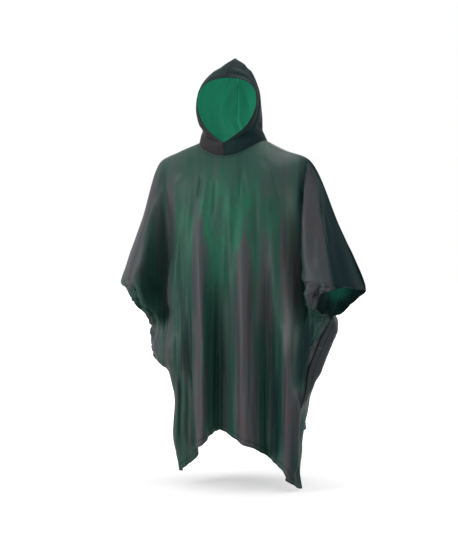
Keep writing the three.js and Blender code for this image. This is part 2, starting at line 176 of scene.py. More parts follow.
def surface_normals(grid: Array, outward: int, flat_x: Array, flat_y: Array) -> Array:
    """Unit normals of a grid: the cross product of its steps down and across.

    Args:
        grid: Points, shape (rows, columns, 3).
        outward: 1 or -1, the turn that makes them point out.
        flat_x: Where the rim stays square to X.
        flat_y: Where the rim stays square to Y.

    Returns:
        Normals in the form of the grid.
    """
    along = np.empty_like(grid)
    along[:, 1:-1] = grid[:, 2:] - grid[:, :-2]
    along[:, 0] = grid[:, 1] - grid[:, 0]
    along[:, -1] = grid[:, -1] - grid[:, -2]
    down = np.empty_like(grid)
    down[1:-1] = grid[2:] - grid[:-2]
    down[0] = grid[1] - grid[0]
    down[-1] = grid[-1] - grid[-2]
    normal = np.cross(down, along) * outward
    normal[..., 0] = np.where(flat_x, 0, normal[..., 0])
    normal[..., 1] = np.where(flat_y, 0, normal[..., 1])
    return normal / np.maximum(np.linalg.norm(normal, axis=-1, keepdims=True), 1e-9)


def ripples(u: Array, v: Array, seed: int, wave: float, stretch: float, count: int = 8) -> Array:
    """Uneven hanging ripples of about unit height.

    A sum of sine waves across the cloth, each with its own length and phase, which wander sideways
    and swell and fade slowly down the cloth.

    Args:
        u: Way across the cloth.
        v: Way down the cloth.
        seed: Start of the random sizes.
        wave: Middle length of a wave across.
        stretch: Middle length of the wander down.
        count: Number of waves.

    Returns:
        Heights in the form of u.
    """
    rng = np.random.default_rng(seed)
    total = np.zeros_like(u)
    for _ in range(count):
        length, reach = wave * rng.uniform(0.55, 1.8), stretch * rng.uniform(0.6, 1.6)
        phase, start, swell = rng.uniform(0, 2 * math.pi, 3)
        wander = rng.uniform(0.6, 1.8) * np.sin(2 * math.pi * v / reach + start)
        size = 0.65 + 0.35 * np.sin(2 * math.pi * v / (1.7 * reach) + swell)
        total += size * np.sin(2 * math.pi * u / length + phase + wander)
    return total / math.sqrt(count / 2)


@dataclass(frozen=True)
class Ripple:
    """Sizes of one kind of ripple, in millimetres."""

    height: float
    wave: float
    stretch: float
    count: int = 8

    def at(self, u: Array, v: Array, seed: int) -> Array:
        """Heights of the ripple at places across and down the cloth."""
        return self.height * ripples(u, v, seed, self.wave, self.stretch, self.count)


HANGING_RIPPLE = Ripple(0.9, 46, 620)
LOWER_RIPPLE = Ripple(1.4, 30, 420)
CHEST_RIPPLE = Ripple(0.45, 60, 260)
HEM_RIPPLE = Ripple(1.2, 34, 300)
HOOD_RIPPLE = Ripple(0.9, 60, 260)
CUFF_WAVES = Ripple(1.0, 42, 160, 5)
CUFF_FINE_WAVES = Ripple(1.0, 24, 90, 4)


def line_bumps(u: Array, v: Array, lines: Table) -> tuple[Array, Array]:
    """Soft troughs and ridges along short straight lines.

    Each is a bell across its line, full along the middle and fading over the last third at its ends.

    Args:
        u: First coordinate of the cloth's points.
        v: Second coordinate.
        lines: Rows with u0, v0, u1, v1, width, height and lean.

    Returns:
        Summed heights and sideways shifts in the form of u.
    """
    total, shift = np.zeros_like(u), np.zeros_like(u)
    for u0, v0, u1, v1, width, height, lean in lines.rows:
        du, dv = u1 - u0, v1 - v0
        size = math.hypot(du, dv)
        share = ((u - u0) * du + (v - v0) * dv) / size**2
        off = ((u - u0) * dv - (v - v0) * du) / size / width
        ends = ramp(-0.12, 0.3, share) * (1 - ramp(0.7, 1.12, share))
        shape = ends * np.exp(-(off**2))
        total += height * shape
        shift += lean * shape
    return total, shift


def bands(x: Array, z: Array, rows: Table) -> Array:
    """Painted light and shade of long hanging bands: a bell across each, which fades in below its start and
    out at its end.

    Args:
        x: Sideways places.
        z: Heights.
        rows: Rows with top_x, hem_x, start_z, end_z, width and tone.

    Returns:
        Summed tones in the form of x.
    """
    total = np.zeros_like(x)
    for top_x, hem_x, start_z, end_z, width, tone in rows.rows:
        share = np.clip((start_z - z) / (start_z - end_z), 0, 1)
        fade = ramp(start_z + 30, start_z - 90, z) * (1 - ramp(end_z + 50, end_z - 40, z))
        total += tone * fade * np.exp(-(((x - mix(top_x, hem_x, share)) / width) ** 2))
    return total


def flats(x: Array, z: Array, rows: Table) -> Array:
    """Painted light and shade of flat stretches of cloth that lie between two slanting lines.

    Args:
        x: Sideways places.
        z: Heights.
        rows: Rows with left_top, left_low, right_top, right_low, top_z, low_z, soft and tone.

    Returns:
        Summed tones in the form of x.
    """
    total = np.zeros_like(x)
    for left_top, left_low, right_top, right_low, top_z, low_z, soft, tone in rows.rows:
        share = np.clip((top_z - z) / (top_z - low_z), 0, 1.2)
        left, right = mix(left_top, left_low, share), mix(right_top, right_low, share)
        inside = ramp(left - soft, left + soft, x) * (1 - ramp(right - soft, right + soft, x))
        total += tone * inside * ramp(top_z + 20, top_z - 30, z) * (1 - ramp(low_z + 20, low_z - 40, z))
    return total


def distance_to(points: Array, edge: Array) -> Array:
    """Straight distance from each point to the nearest point of an edge.

    Args:
        points: Shape (count, 3).
        edge: Shape (edge count, 3).

    Returns:
        Distances, shape (count,).
    """
    best = np.full(len(points), 1e9)
    for part in np.array_split(edge, max(1, len(edge) // 24)):
        gap = np.linalg.norm(points[:, None, :] - part[None, :, :], axis=-1).min(axis=1)
        best = np.minimum(best, gap)
    return best


@dataclass
class ClothGrid:
    """Middle surface of one piece of cloth, with what its finish needs at every point."""

    points: Array
    normals: Array
    fields: dict[str, Array]
    hanging: bool = False

    def place(self) -> Array:
        """Way across and down the cloth at every point.

        On hanging cloth it is x + 0.4 y and the height turned down, so that lines hang upright.
        Elsewhere it is the length along rows and columns.

        Returns:
            Shape (rows, columns, 3): across, down and 0, in millimetres.
        """
        if self.hanging:
            u, v = self.points[..., 0] + 0.4 * self.points[..., 1], -self.points[..., 2]
            return np.stack([u, v, np.zeros_like(u)], -1)
        across = np.linalg.norm(np.diff(self.points, axis=1), axis=-1)
        down = np.linalg.norm(np.diff(self.points, axis=0), axis=-1)
        u = np.concatenate([np.zeros((len(across), 1)), np.cumsum(across, axis=1)], axis=1)
        u -= u[:, u.shape[1] // 2][:, None]
        v = np.concatenate([np.zeros((1, down.shape[1])), np.cumsum(down, axis=0)], axis=0)
        return np.stack([u, v, np.zeros_like(u)], -1)


def build_cloth(
    name: str, cloth: ClothGrid, outward: int, materials: list[bpy.types.Material],
) -> bpy.types.Object:
    """Closed thin wall around a middle surface.

    The outer and inner faces lie half the wall to either side along the normals, and strips close
    the rims.

    Args:
        name: Object name.
        cloth: The middle surface, in millimetres.
        outward: 1 or -1, the turn of the faces.
        materials: Outer and inner material.

    Returns:
        The finished object.
    """
    half = WALL / 2 + cloth.fields.get("thicken", 0.0)
    rows, columns = cloth.points.shape[:2]
    offset = cloth.normals * (half[..., None] if isinstance(half, np.ndarray) else half)
    outer, inner = cloth.points + offset, cloth.points - offset
    count = rows * columns
    index = np.arange(count).reshape(rows, columns)
    a, b = index[:-1, :-1], index[1:, :-1]
    c, d = index[1:, 1:], index[:-1, 1:]
    front = np.stack([a, b, c, d], -1).reshape(-1, 4)
    back = np.stack([a, d, c, b], -1).reshape(-1, 4) + count
    border = np.concatenate([index[:, 0], index[-1, 1:], index[-2::-1, -1], index[0, -2:0:-1]])
    ahead = np.roll(border, -1)
    rim = np.stack([border, border + count, ahead + count, ahead], -1)
    faces = np.concatenate([front, back, rim])
    if outward < 0:
        faces = faces[:, ::-1]
    mesh = bpy.data.meshes.new(name)
    mesh.vertices.add(2 * count)
    places = np.concatenate([outer.reshape(-1, 3), inner.reshape(-1, 3)]) * MM
    mesh.vertices.foreach_set("co", places.ravel())
    mesh.loops.add(faces.size)
    mesh.loops.foreach_set("vertex_index", faces.ravel().astype(np.int32))
    mesh.polygons.add(len(faces))
    mesh.polygons.foreach_set("loop_start", np.arange(0, faces.size, 4, dtype=np.int32))
    slots = np.repeat([0, 1, 0], [len(front), len(back), len(rim)])
    mesh.polygons.foreach_set("material_index", slots.astype(np.int32))
    mesh.update(calc_edges=True)
    mesh.polygons.foreach_set("use_smooth", np.ones(len(faces), bool))
    mark_rims(mesh, border, count)
    for field_name, values in cloth.fields.items():
        if field_name != "thicken":
            add_field(mesh, field_name, np.tile(values.ravel(), 2))
    add_field(mesh, "cloth_place", np.tile(cloth.place().reshape(-1, 3), (2, 1)) * MM)
    for material in materials:
        mesh.materials.append(material)
    mesh.validate()
    shell = bpy.data.objects.new(name, mesh)
    bpy.context.scene.collection.objects.link(shell)
    return shell


def mark_rims(mesh: bpy.types.Mesh, border: Array, count: int) -> None:
    """Marks the edges around both faces of a wall as sharp, so that the flat cloth shades evenly to its rim.

    Args:
        mesh: The wall.
        border: Vertices around the outer face, in order.
        count: Number of vertices of one face.
    """
    ends = np.empty(len(mesh.edges) * 2, np.int32)
    mesh.edges.foreach_get("vertices", ends)
    ends = np.sort(ends.reshape(-1, 2), axis=1)
    ahead = np.roll(border, -1)
    ring = np.sort(np.stack([border, ahead], -1), axis=1)
    both = np.concatenate([ring, ring + count])
    keys = ends[:, 0].astype(np.int64) * (4 * count) + ends[:, 1]
    marked = np.isin(keys, both[:, 0].astype(np.int64) * (4 * count) + both[:, 1])
    sharp = mesh.attributes.new("sharp_edge", "BOOLEAN", "EDGE")
    sharp.data.foreach_set("value", marked)


def add_field(mesh: bpy.types.Mesh, name: str, values: Array) -> None:
    """Stores a number or a vector for every vertex of a mesh.

    Args:
        mesh: The mesh.
        name: Name that the finish reads.
        values: Shape (vertices,) or (vertices, 3).
    """
    vector = values.ndim == 2
    layer = mesh.attributes.new(name, "FLOAT_VECTOR" if vector else "FLOAT", "POINT")
    layer.data.foreach_set("vector" if vector else "value", values.astype(np.float32).ravel())


# Side edges of the panels. down: share of the way from neck (0) to hem (1), over the tip of the sleeve
# at 0.36, the cuff and the snap. in_x, in_y: where the cloth comes from, a short way in from the edge.
EDGE_NAMES = ("down", "x", "y", "z", "in_x", "in_y")

FRONT_RIGHT_EDGE = Table(EDGE_NAMES, (
    (0.00, 104, 0, 20, -4, -26),
    (0.06, 173, 0, -15, -6, -30),
    (0.12, 245, 0, -44, -8, -32),
    (0.24, 346, 0, -255, -16, -48),
    (0.36, 433, 0, -459, -34, -92),
    (0.41, 388, -62, -450, -34, -60),
    (0.45, 347, -124, -462, -30, -26),
    (0.49, 320, -150, -486, -26, 6),
    (0.53, 311, -138, -514, -26, 26),
    (0.57, 321, -98, -536, -34, 14),
    (0.61, 332, -56, -552, -30, -6),
    (0.66, 306, -60, -600, -24, -14),
    (0.71, 287, -70, -650, -20, -14),
    (0.77, 262, -68, -712, -20, -14),
    (0.84, 249, -56, -790, -22, -18),
    (0.92, 219, -56, -920, -22, -24),
    (1.00, 250, -84, -1078, -16, -34),
))

FRONT_LEFT_EDGE = Table(EDGE_NAMES, (
    (0.00, -120, 0, 20, 4, -26),
    (0.06, -196, 0, -8, 6, -30),
    (0.12, -260, 0, -38, 8, -32),
    (0.24, -324, 0, -228, 14, -48),
    (0.33, -383, 0, -386, 29, -78),
    (0.36, -400, 0, -438, 34, -88),
    (0.41, -360, -66, -458, 34, -56),
    (0.45, -322, -110, -490, 30, -24),
    (0.49, -290, -130, -516, 26, 4),
    (0.53, -268, -116, -540, 24, 16),
    (0.57, -277, -72, -560, 30, 4),
    (0.61, -290, -30, -590, 28, -20),
    (0.66, -293, -12, -640, 20, -30),
    (0.71, -279, -14, -688, 18, -30),
    (0.77, -218, -26, -728, 18, -26),
    (0.84, -182, -44, -800, 18, -24),
    (0.92, -156, -60, -905, 16, -22),
    (0.96, -161, -72, -975, 14, -24),
    (1.00, -152, -84, -1044, 12, -26),
))

BACK_RIGHT_EDGE = Table(EDGE_NAMES, (
    (0.00, 104, 0, 20, -4, 24),
    (0.06, 173, 0, -15, -6, 30),
    (0.12, 245, 0, -44, -8, 32),
    (0.24, 346, 0, -255, -16, 46),
    (0.36, 433, 0, -459, -24, 66),
    (0.41, 408, 8, -482, -22, 52),
    (0.45, 386, 10, -503, -20, 46),
    (0.49, 368, 6, -521, -16, 42),
    (0.53, 355, -6, -534, -10, 42),
    (0.57, 338, -30, -543, -4, 38),
    (0.61, 334, -52, -554, 10, 26),
    (0.66, 309, -57, -601, 33, 24),
    (0.71, 289, -67, -651, 34, 24),
    (0.77, 266, -65, -712, 32, 28),
    (0.84, 251, -53, -790, 6, 30),
    (0.92, 218, -52, -915, -6, 30),
    (1.00, 240, -66, -1058, -10, 30),
))

BACK_LEFT_EDGE = Table(EDGE_NAMES, (
    (0.00, -120, 0, 20, 4, 24),
    (0.06, -196, 0, -8, 6, 30),
    (0.12, -260, 0, -38, 8, 32),
    (0.24, -324, 0, -228, 14, 46),
    (0.33, -383, 0, -386, 21, 61),
    (0.36, -400, 0, -438, 24, 66),
    (0.41, -374, 10, -468, 22, 52),
    (0.45, -350, 14, -494, 20, 46),
    (0.49, -330, 14, -518, 16, 42),
    (0.53, -312, 8, -541, 10, 42),
    (0.57, -299, -6, -564, 6, 42),
    (0.61, -294, -24, -591, 8, 36),
    (0.66, -295, -8, -640, 12, 34),
    (0.71, -281, -10, -688, 12, 34),
    (0.77, -220, -22, -728, 10, 34),
    (0.84, -184, -40, -800, 6, 34),
    (0.92, -158, -56, -895, 2, 34),
    (0.96, -158, -60, -956, 2, 34),
    (1.00, -147, -66, -1016, 0, 34),
))

# Sections across the panels, right half. torso, pit and arm: where the cloth turns over the side of the
# chest, dips between body and arm, and passes over the arm. rise: how late a row climbs or falls from
# the height of its middle to the height of its edge.
SECTION_NAMES = (
    "down", "middle_y", "middle_z", "torso_x", "torso_y", "pit_x", "pit_y", "arm_x", "arm_y", "rise",
)

FRONT_SECTIONS = Table(SECTION_NAMES, (
    (0.00, -100, -35, 52, -87, 74, -71, 90, -50, 2.0),
    (0.06, -121, -78, 88, -106, 124, -86, 154, -58, 2.0),
    (0.12, -137, -134, 124, -122, 174, -98, 214, -64, 2.1),
    (0.18, -147, -192, 148, -128, 212, -84, 258, -68, 2.3),
    (0.24, -152, -252, 164, -132, 230, -56, 288, -90, 2.4),
    (0.36, -158, -372, 174, -136, 240, -30, 314, -138, 2.6),
    (0.45, -160, -462, 176, -136, 242, -28, 298, -136, 2.8),
    (0.53, -160, -530, 174, -138, 236, -48, 276, -102, 2.8),
    (0.61, -160, -592, 168, -136, 226, -86, 274, -76, 2.6),
    (0.71, -160, -672, 156, -138, 208, -110, 248, -94, 2.5),
    (0.84, -160, -778, 140, -142, 178, -122, 212, -102, 2.5),
    (1.00, -160, -912, 134, -146, 170, -134, 208, -118, 2.4),
))

BACK_SECTIONS = Table(SECTION_NAMES, (
    (0.00, 90, 32, 52, 78, 74, 64, 90, 45, 2.0),
    (0.06, 112, -14, 88, 98, 124, 79, 154, 54, 2.0),
    (0.12, 126, -76, 124, 112, 174, 90, 214, 60, 2.1),
    (0.18, 134, -142, 148, 118, 212, 82, 258, 64, 2.3),
    (0.24, 140, -212, 164, 124, 232, 58, 290, 82, 2.4),
    (0.36, 146, -340, 176, 132, 248, 46, 330, 106, 2.6),
    (0.45, 150, -440, 178, 136, 254, 56, 324, 102, 2.8),
    (0.53, 152, -520, 176, 138, 252, 76, 314, 84, 2.8),
    (0.61, 154, -592, 170, 140, 246, 96, 324, 50, 2.6),
    (0.71, 156, -676, 158, 142, 226, 104, 294, 44, 2.5),
    (0.84, 158, -786, 142, 144, 190, 118, 236, 60, 3.4),
    (1.00, 160, -908, 134, 146, 172, 124, 212, 74, 5.5),
))

# Hanging folds. top_x, hem_x: place of the crest at the start and at the hem. start_z: where it begins.
# full_z: where it has its whole height. drop: how much lower the hem hangs there. lean: how far its crest
# lies over to the right.
FOLD_NAMES = ("top_x", "hem_x", "start_z", "full_z", "width", "height", "drop", "lean")

FRONT_FOLDS = Table(FOLD_NAMES, (
    (-126, -112, -200, -700, 19, -36, 0, 0),
    (-76, -66, -110, -640, 27, 50, 20, 34),
    (16, 10, -240, -720, 29, -56, -8, -24),
    (74, 92, -100, -700, 34, 48, 14, 6),
    (146, 160, -160, -640, 24, -48, 10, 0),
    (190, 206, -220, -700, 22, 34, 0, 4),
    (-214, -150, -160, -520, 20, 16, 0, 0),
    (30, 52, -90, -300, 12, 8, 0, 0),
    (-100, -150, -80, -260, 14, 8, 0, 0),
    (112, 128, -80, -280, 14, -9, 0, 0),
    (-128, -126, -640, -880, 16, 0, 9, 0),
    (130, 134, -640, -880, 20, 0, 16, 0),
    (204, 206, -640, -880, 13, 0, 11, 0),
))

BACK_FOLDS = Table(FOLD_NAMES, (
    (-180, -128, -240, -760, 22, 22, 0, 0),
    (-134, -92, -160, -680, 22, -40, 0, 0),
    (-84, -50, -110, -640, 26, 44, 6, -14),
    (-22, -6, -180, -700, 23, -46, -4, 0),
    (40, 40, -120, -660, 26, 44, 6, 12),
    (96, 90, -180, -700, 23, -46, -2, 0),
    (150, 144, -150, -700, 27, 42, 4, 10),
    (204, 196, -240, -740, 22, -30, 0, 0),
    (-6, -30, -80, -260, 16, -8, 0, 0),
    (120, 160, -80, -280, 16, 8, 0, 0),
))

# Creases, as lines seen from the front: troughs where the height is negative. lean: sideways shift.
CREASE_NAMES = ("u0", "v0", "u1", "v1", "width", "height", "lean")

FRONT_CREASES = Table(CREASE_NAMES, (
    (248, -40, 258, -620, 14, -16, -4),  # under the edge of the right sleeve's drape
    (252, -40, 262, -560, 4.5, -8, 0),
    (259, -44, 272, -520, 4.5, 4, 0),
    (292, -250, 302, -330, 4, -3.5, 0),
    (330, -330, 352, -440, 4.5, -4, 0),
    (282, -340, 296, -440, 4, -3.5, 0),
    (266, -50, 300, -540, 16, 13, -20),
    (264, -70, 360, -480, 10, 7, 4),  # where the right sleeve turns to its side
    (300, -110, 392, -450, 15, -8, 0),
    (298, -296, 307, -404, 4.5, -7, 0),
    (315, -296, 337, -428, 4.5, -7, 0),
    (308, -216, 333, -322, 5, -5, 0),
    (284, -400, 312, -462, 6, 6, 0),
    (296, -150, 300, -240, 5, 3, 0),
    (276, -300, 286, -390, 4.5, 4, 0),
    (318, -350, 346, -470, 5, 5, 0),
    (272, -470, 300, -494, 5, -5, 0),
    (276, -140, 306, -440, 8, 4, 0),
    (-216, -110, -212, -590, 13, -11, 0),  # between chest and left sleeve
    (-238, -130, -246, -500, 11, 4, 0),
    (-262, -240, -300, -420, 12, -4, 0),
    (-280, -380, -235, -480, 12, -6, 0),
    (-73, -96, -74, -172, 4.5, -4.5, 0),  # short lines under the neck
    (-20, -120, -21, -226, 4.5, -4.5, 0),
    (62, -90, 64, -176, 4.5, -4.0, 0),
    (158, -90, 184, -196, 5, -5.5, 0),
    (60, -64, 92, -190, 8, -2.4, 0),
    (-48, -74, -60, -250, 9, 2.0, 0),
    (-128, -180, -162, -500, 9, 5.0, 0),
    (-100, -40, -186, -150, 11, -2.5, 0),
    (112, -36, 214, -150, 11, -2.5, 0),
    (-90, -460, -84, -905, 8, 4.0, 0),  # fine companions of the main folds
    (-50, -500, -44, -905, 7, -3.5, 0),
    (112, -420, 120, -930, 8, -4.0, 0),
    (70, -540, 76, -930, 7, -3.5, 0),
    (218, -440, 224, -1010, 6, 5.0, 0),
    (166, -220, 170, -600, 3.5, 2.4, 0),
    (186, -250, 190, -560, 3.5, -2.6, 0),
    (206, -210, 208, -570, 3.5, 2.4, 0),
    (186, -520, 190, -960, 6, -4.0, 0),
    (4, -380, 0, -900, 7, 3.0, 0),
    (30, -460, 34, -900, 7, -3.0, 0),
    (-132, -560, -128, -950, 6, 4.0, 0),
    (-148, -640, -140, -1010, 6, -4.0, 0),
))

CUFF_CREASES = Table(CREASE_NAMES, (
    (362, -436, 336, -512, 7, -10, 0),  # bunched edge of the right sleeve
    (346, -430, 318, -520, 7, 9, 0),
    (330, -420, 306, -524, 6, -11, 0),
    (314, -416, 292, -526, 6, 9, 0),
    (300, -424, 282, -520, 6, -9, 0),
    (334, -524, 300, -590, 7, -9, 0),
    (320, -548, 286, -620, 7, 8, 0),
    (306, -580, 276, -650, 7, -8, 0),
    (290, -620, 262, -690, 7, 6, 0),
    (-340, -426, -306, -516, 7, -10, 0),  # bunched edge of the left sleeve
    (-322, -424, -290, -528, 7, 9, 0),
    (-304, -430, -272, -536, 6, -10, 0),
    (-286, -440, -258, -544, 7, 8, 0),
    (-302, -556, -268, -630, 7, -9, 0),
    (-290, -590, -252, -676, 7, 8, 0),
    (-272, -620, -240, -700, 7, -7, 0),
))

BACK_CREASES = Table(CREASE_NAMES, (
    (256, -80, 262, -600, 14, -10, 0),
    (282, -90, 300, -500, 14, 7, -10),
    (-222, -90, -226, -600, 14, -10, 0),
    (-250, -110, -268, -500, 13, 6, 8),
    (310, -120, 372, -450, 9, -5, 0),
    (-290, -130, -340, -420, 9, -5, 0),
    (-96, -10, -190, -150, 11, -3, 0),
    (100, -10, 200, -150, 11, -3, 0),
    (-40, -30, -58, -220, 9, -2.5, 0),
    (54, -30, 70, -250, 9, -2.5, 0),
    (4, -60, 2, -300, 8, 2.5, 0),
    (-70, -420, -64, -900, 8, -4.0, 0),
    (-30, -460, -24, -900, 7, 3.5, 0),
    (22, -480, 20, -900, 7, -3.5, 0),
    (62, -420, 64, -900, 7, 4.0, 0),
    (116, -500, 116, -920, 7, 3.5, 0),
    (168, -460, 166, -930, 7, -4.0, 0),
    (-112, -520, -106, -930, 7, 3.5, 0),
    (-156, -560, -150, -960, 7, -3.5, 0),
    (228, -560, 222, -980, 7, 4.0, 0),
))

# Long bands of painted light and shade in the cloth. tone: painted plum and grey sheen where positive,
# painted deep teal shade where negative.
BAND_NAMES = ("top_x", "hem_x", "start_z", "end_z", "width", "tone")

FRONT_BANDS = Table(BAND_NAMES, (
    (-100, -98, -480, -960, 11, -0.7),
    (-70, -46, -190, -960, 23, 1.3),
    (-30, -26, -330, -940, 7, -0.7),
    (-10, 2, -420, -930, 20, 0.05),
    (70, 98, -150, -420, 9, 1.0),
    (84, 100, -300, -960, 29, 1.3),
    (134, 150, -260, -980, 14, 0.5),
    (168, 174, -600, -1010, 13, -0.8),
    (150, 160, -230, -720, 17, 0.8),
    (190, 208, -200, -520, 9, 0.8),
    (212, 224, -300, -1060, 15, 1.0),
    (284, 240, -540, -760, 13, -1.2),
    (-186, -180, -100, -960, 25, 0.9),
    (-292, -332, -60, -440, 42, 1.7),
    (-268, -240, -540, -790, 28, 1.5),
    (318, 256, -575, -725, 18, 1.6),  # strip along the free edge below the right cuff
    (254, 230, -725, -940, 14, 1.4),
    (-150, -146, -540, -960, 14, -0.4),
    (-126, -116, -560, -960, 12, 0.5),
))

BACK_BANDS = Table(BAND_NAMES, (
    (-320, -360, -60, -460, 40, 0.9),
    (-230, -222, -120, -560, 18, -1.2),
    (-150, -128, -380, -1000, 20, 0.7),
    (-112, -92, -320, -980, 16, -0.7),
    (-70, -50, -200, -960, 20, 1.0),
    (-16, -6, -300, -940, 18, -0.4),
    (40, 40, -180, -960, 22, 1.1),
    (94, 90, -320, -960, 18, -0.6),
    (150, 144, -220, -980, 20, 0.9),
    (200, 196, -380, -1020, 16, -0.9),
    (250, 250, -100, -560, 16, -1.2),
    (300, 330, -60, -500, 30, 1.2),
    (360, 400, -160, -480, 24, -1.2),
    (336, 282, -540, -740, 34, 2.0),  # strip past the right edge of the front
    (282, 250, -740, -980, 30, 1.8),
    (-296, -236, -540, -780, 34, 1.6),  # cloth below the left cuff
))

# Flat stretches of cloth between two slanting lines: faces with painted plum sheen, and sides that turn away
# from the light into painted deep teal shade.
FLAT_NAMES = ("left_top", "left_low", "right_top", "right_low", "top_z", "low_z", "soft", "tone")

FRONT_FACES = Table(FLAT_NAMES, (
    (249, 260, 268, 372, -40, -500, 3, 1.3),
    (-260, -250, -110, -150, 0, -150, 34, 0.25),  # left and right top of the chest
    (100, 120, 236, 236, 0, -170, 30, 0.6),
))

FRONT_SHADES = Table(FLAT_NAMES, (
    (230, 234, 248, 256, -60, -560, 4, 0.4),  # beside the right sleeve
    (243, 250, 250, 260, -50, -520, 2.5, 0.9),  # fold that the right sleeve hangs from
    (249, 260, 268, 372, -40, -500, 3, 0.16),  # face of the right sleeve
    (268, 372, 480, 480, -40, -500, 3, 0.95),  # turned side of the right sleeve
    (-236, -290, -204, -216, -60, -480, 8, 0.35),  # turned side of the left sleeve
    (246, 232, 290, 262, -560, -740, 6, 0.6),  # below the right cuff
    (236, 226, 320, 320, -780, -1060, 8, 0.55),  # turned side of the right hem corner
))

# Painted light: lighter bands down the deep valleys, where shade falls, in the same columns; the last column
# is the share of the painted light colour.
FRONT_PAINTED_LIGHT = Table(BAND_NAMES, (
    (210, 222, -140, -640, 14, 0.30),  # between chest and right sleeve
    (-222, -222, -160, -520, 16, 0.22),  # between chest and left sleeve
    (16, 10, -460, -960, 20, 0.22),
    (-124, -114, -460, -1000, 13, 0.16),
    (146, 158, -460, -960, 12, 0.12),
))

BACK_PAINTED_LIGHT = Table(BAND_NAMES, (
    (232, 244, -160, -560, 18, 0.20),
    (-226, -236, -160, -560, 18, 0.20),
    (-22, -6, -460, -960, 16, 0.14),
    (-134, -92, -460, -960, 16, 0.12),
    (96, 90, -460, -960, 16, 0.12),
))

BACK_FACES = Table(FLAT_NAMES, (
    (256, 300, 290, 370, -60, -500, 8, 0.6),
))

BACK_SHADES = Table(FLAT_NAMES, (
    (-480, -480, -290, -350, -60, -480, 8, 0.6),
    (262, 222, 400, 330, -540, -940, 6, 0.40),
))


@dataclass(frozen=True)
class PaintedGlow:
    """Painted patch of light: where light comes through the single cloth of the chest or back, and where it
    falls into a cuff.
    """

    x: float
    z: float
    reach_x: float
    reach_z: float
    strength: float

    def at(self, x: Array, z: Array) -> Array:
        """Strength of the patch: a bell both ways, longer downwards."""
        below = np.where(z < self.z, 1.7, 1.0) * self.reach_z
        return self.strength * np.exp(-(((x - self.x) / self.reach_x) ** 2) - ((z - self.z) / below) ** 2)


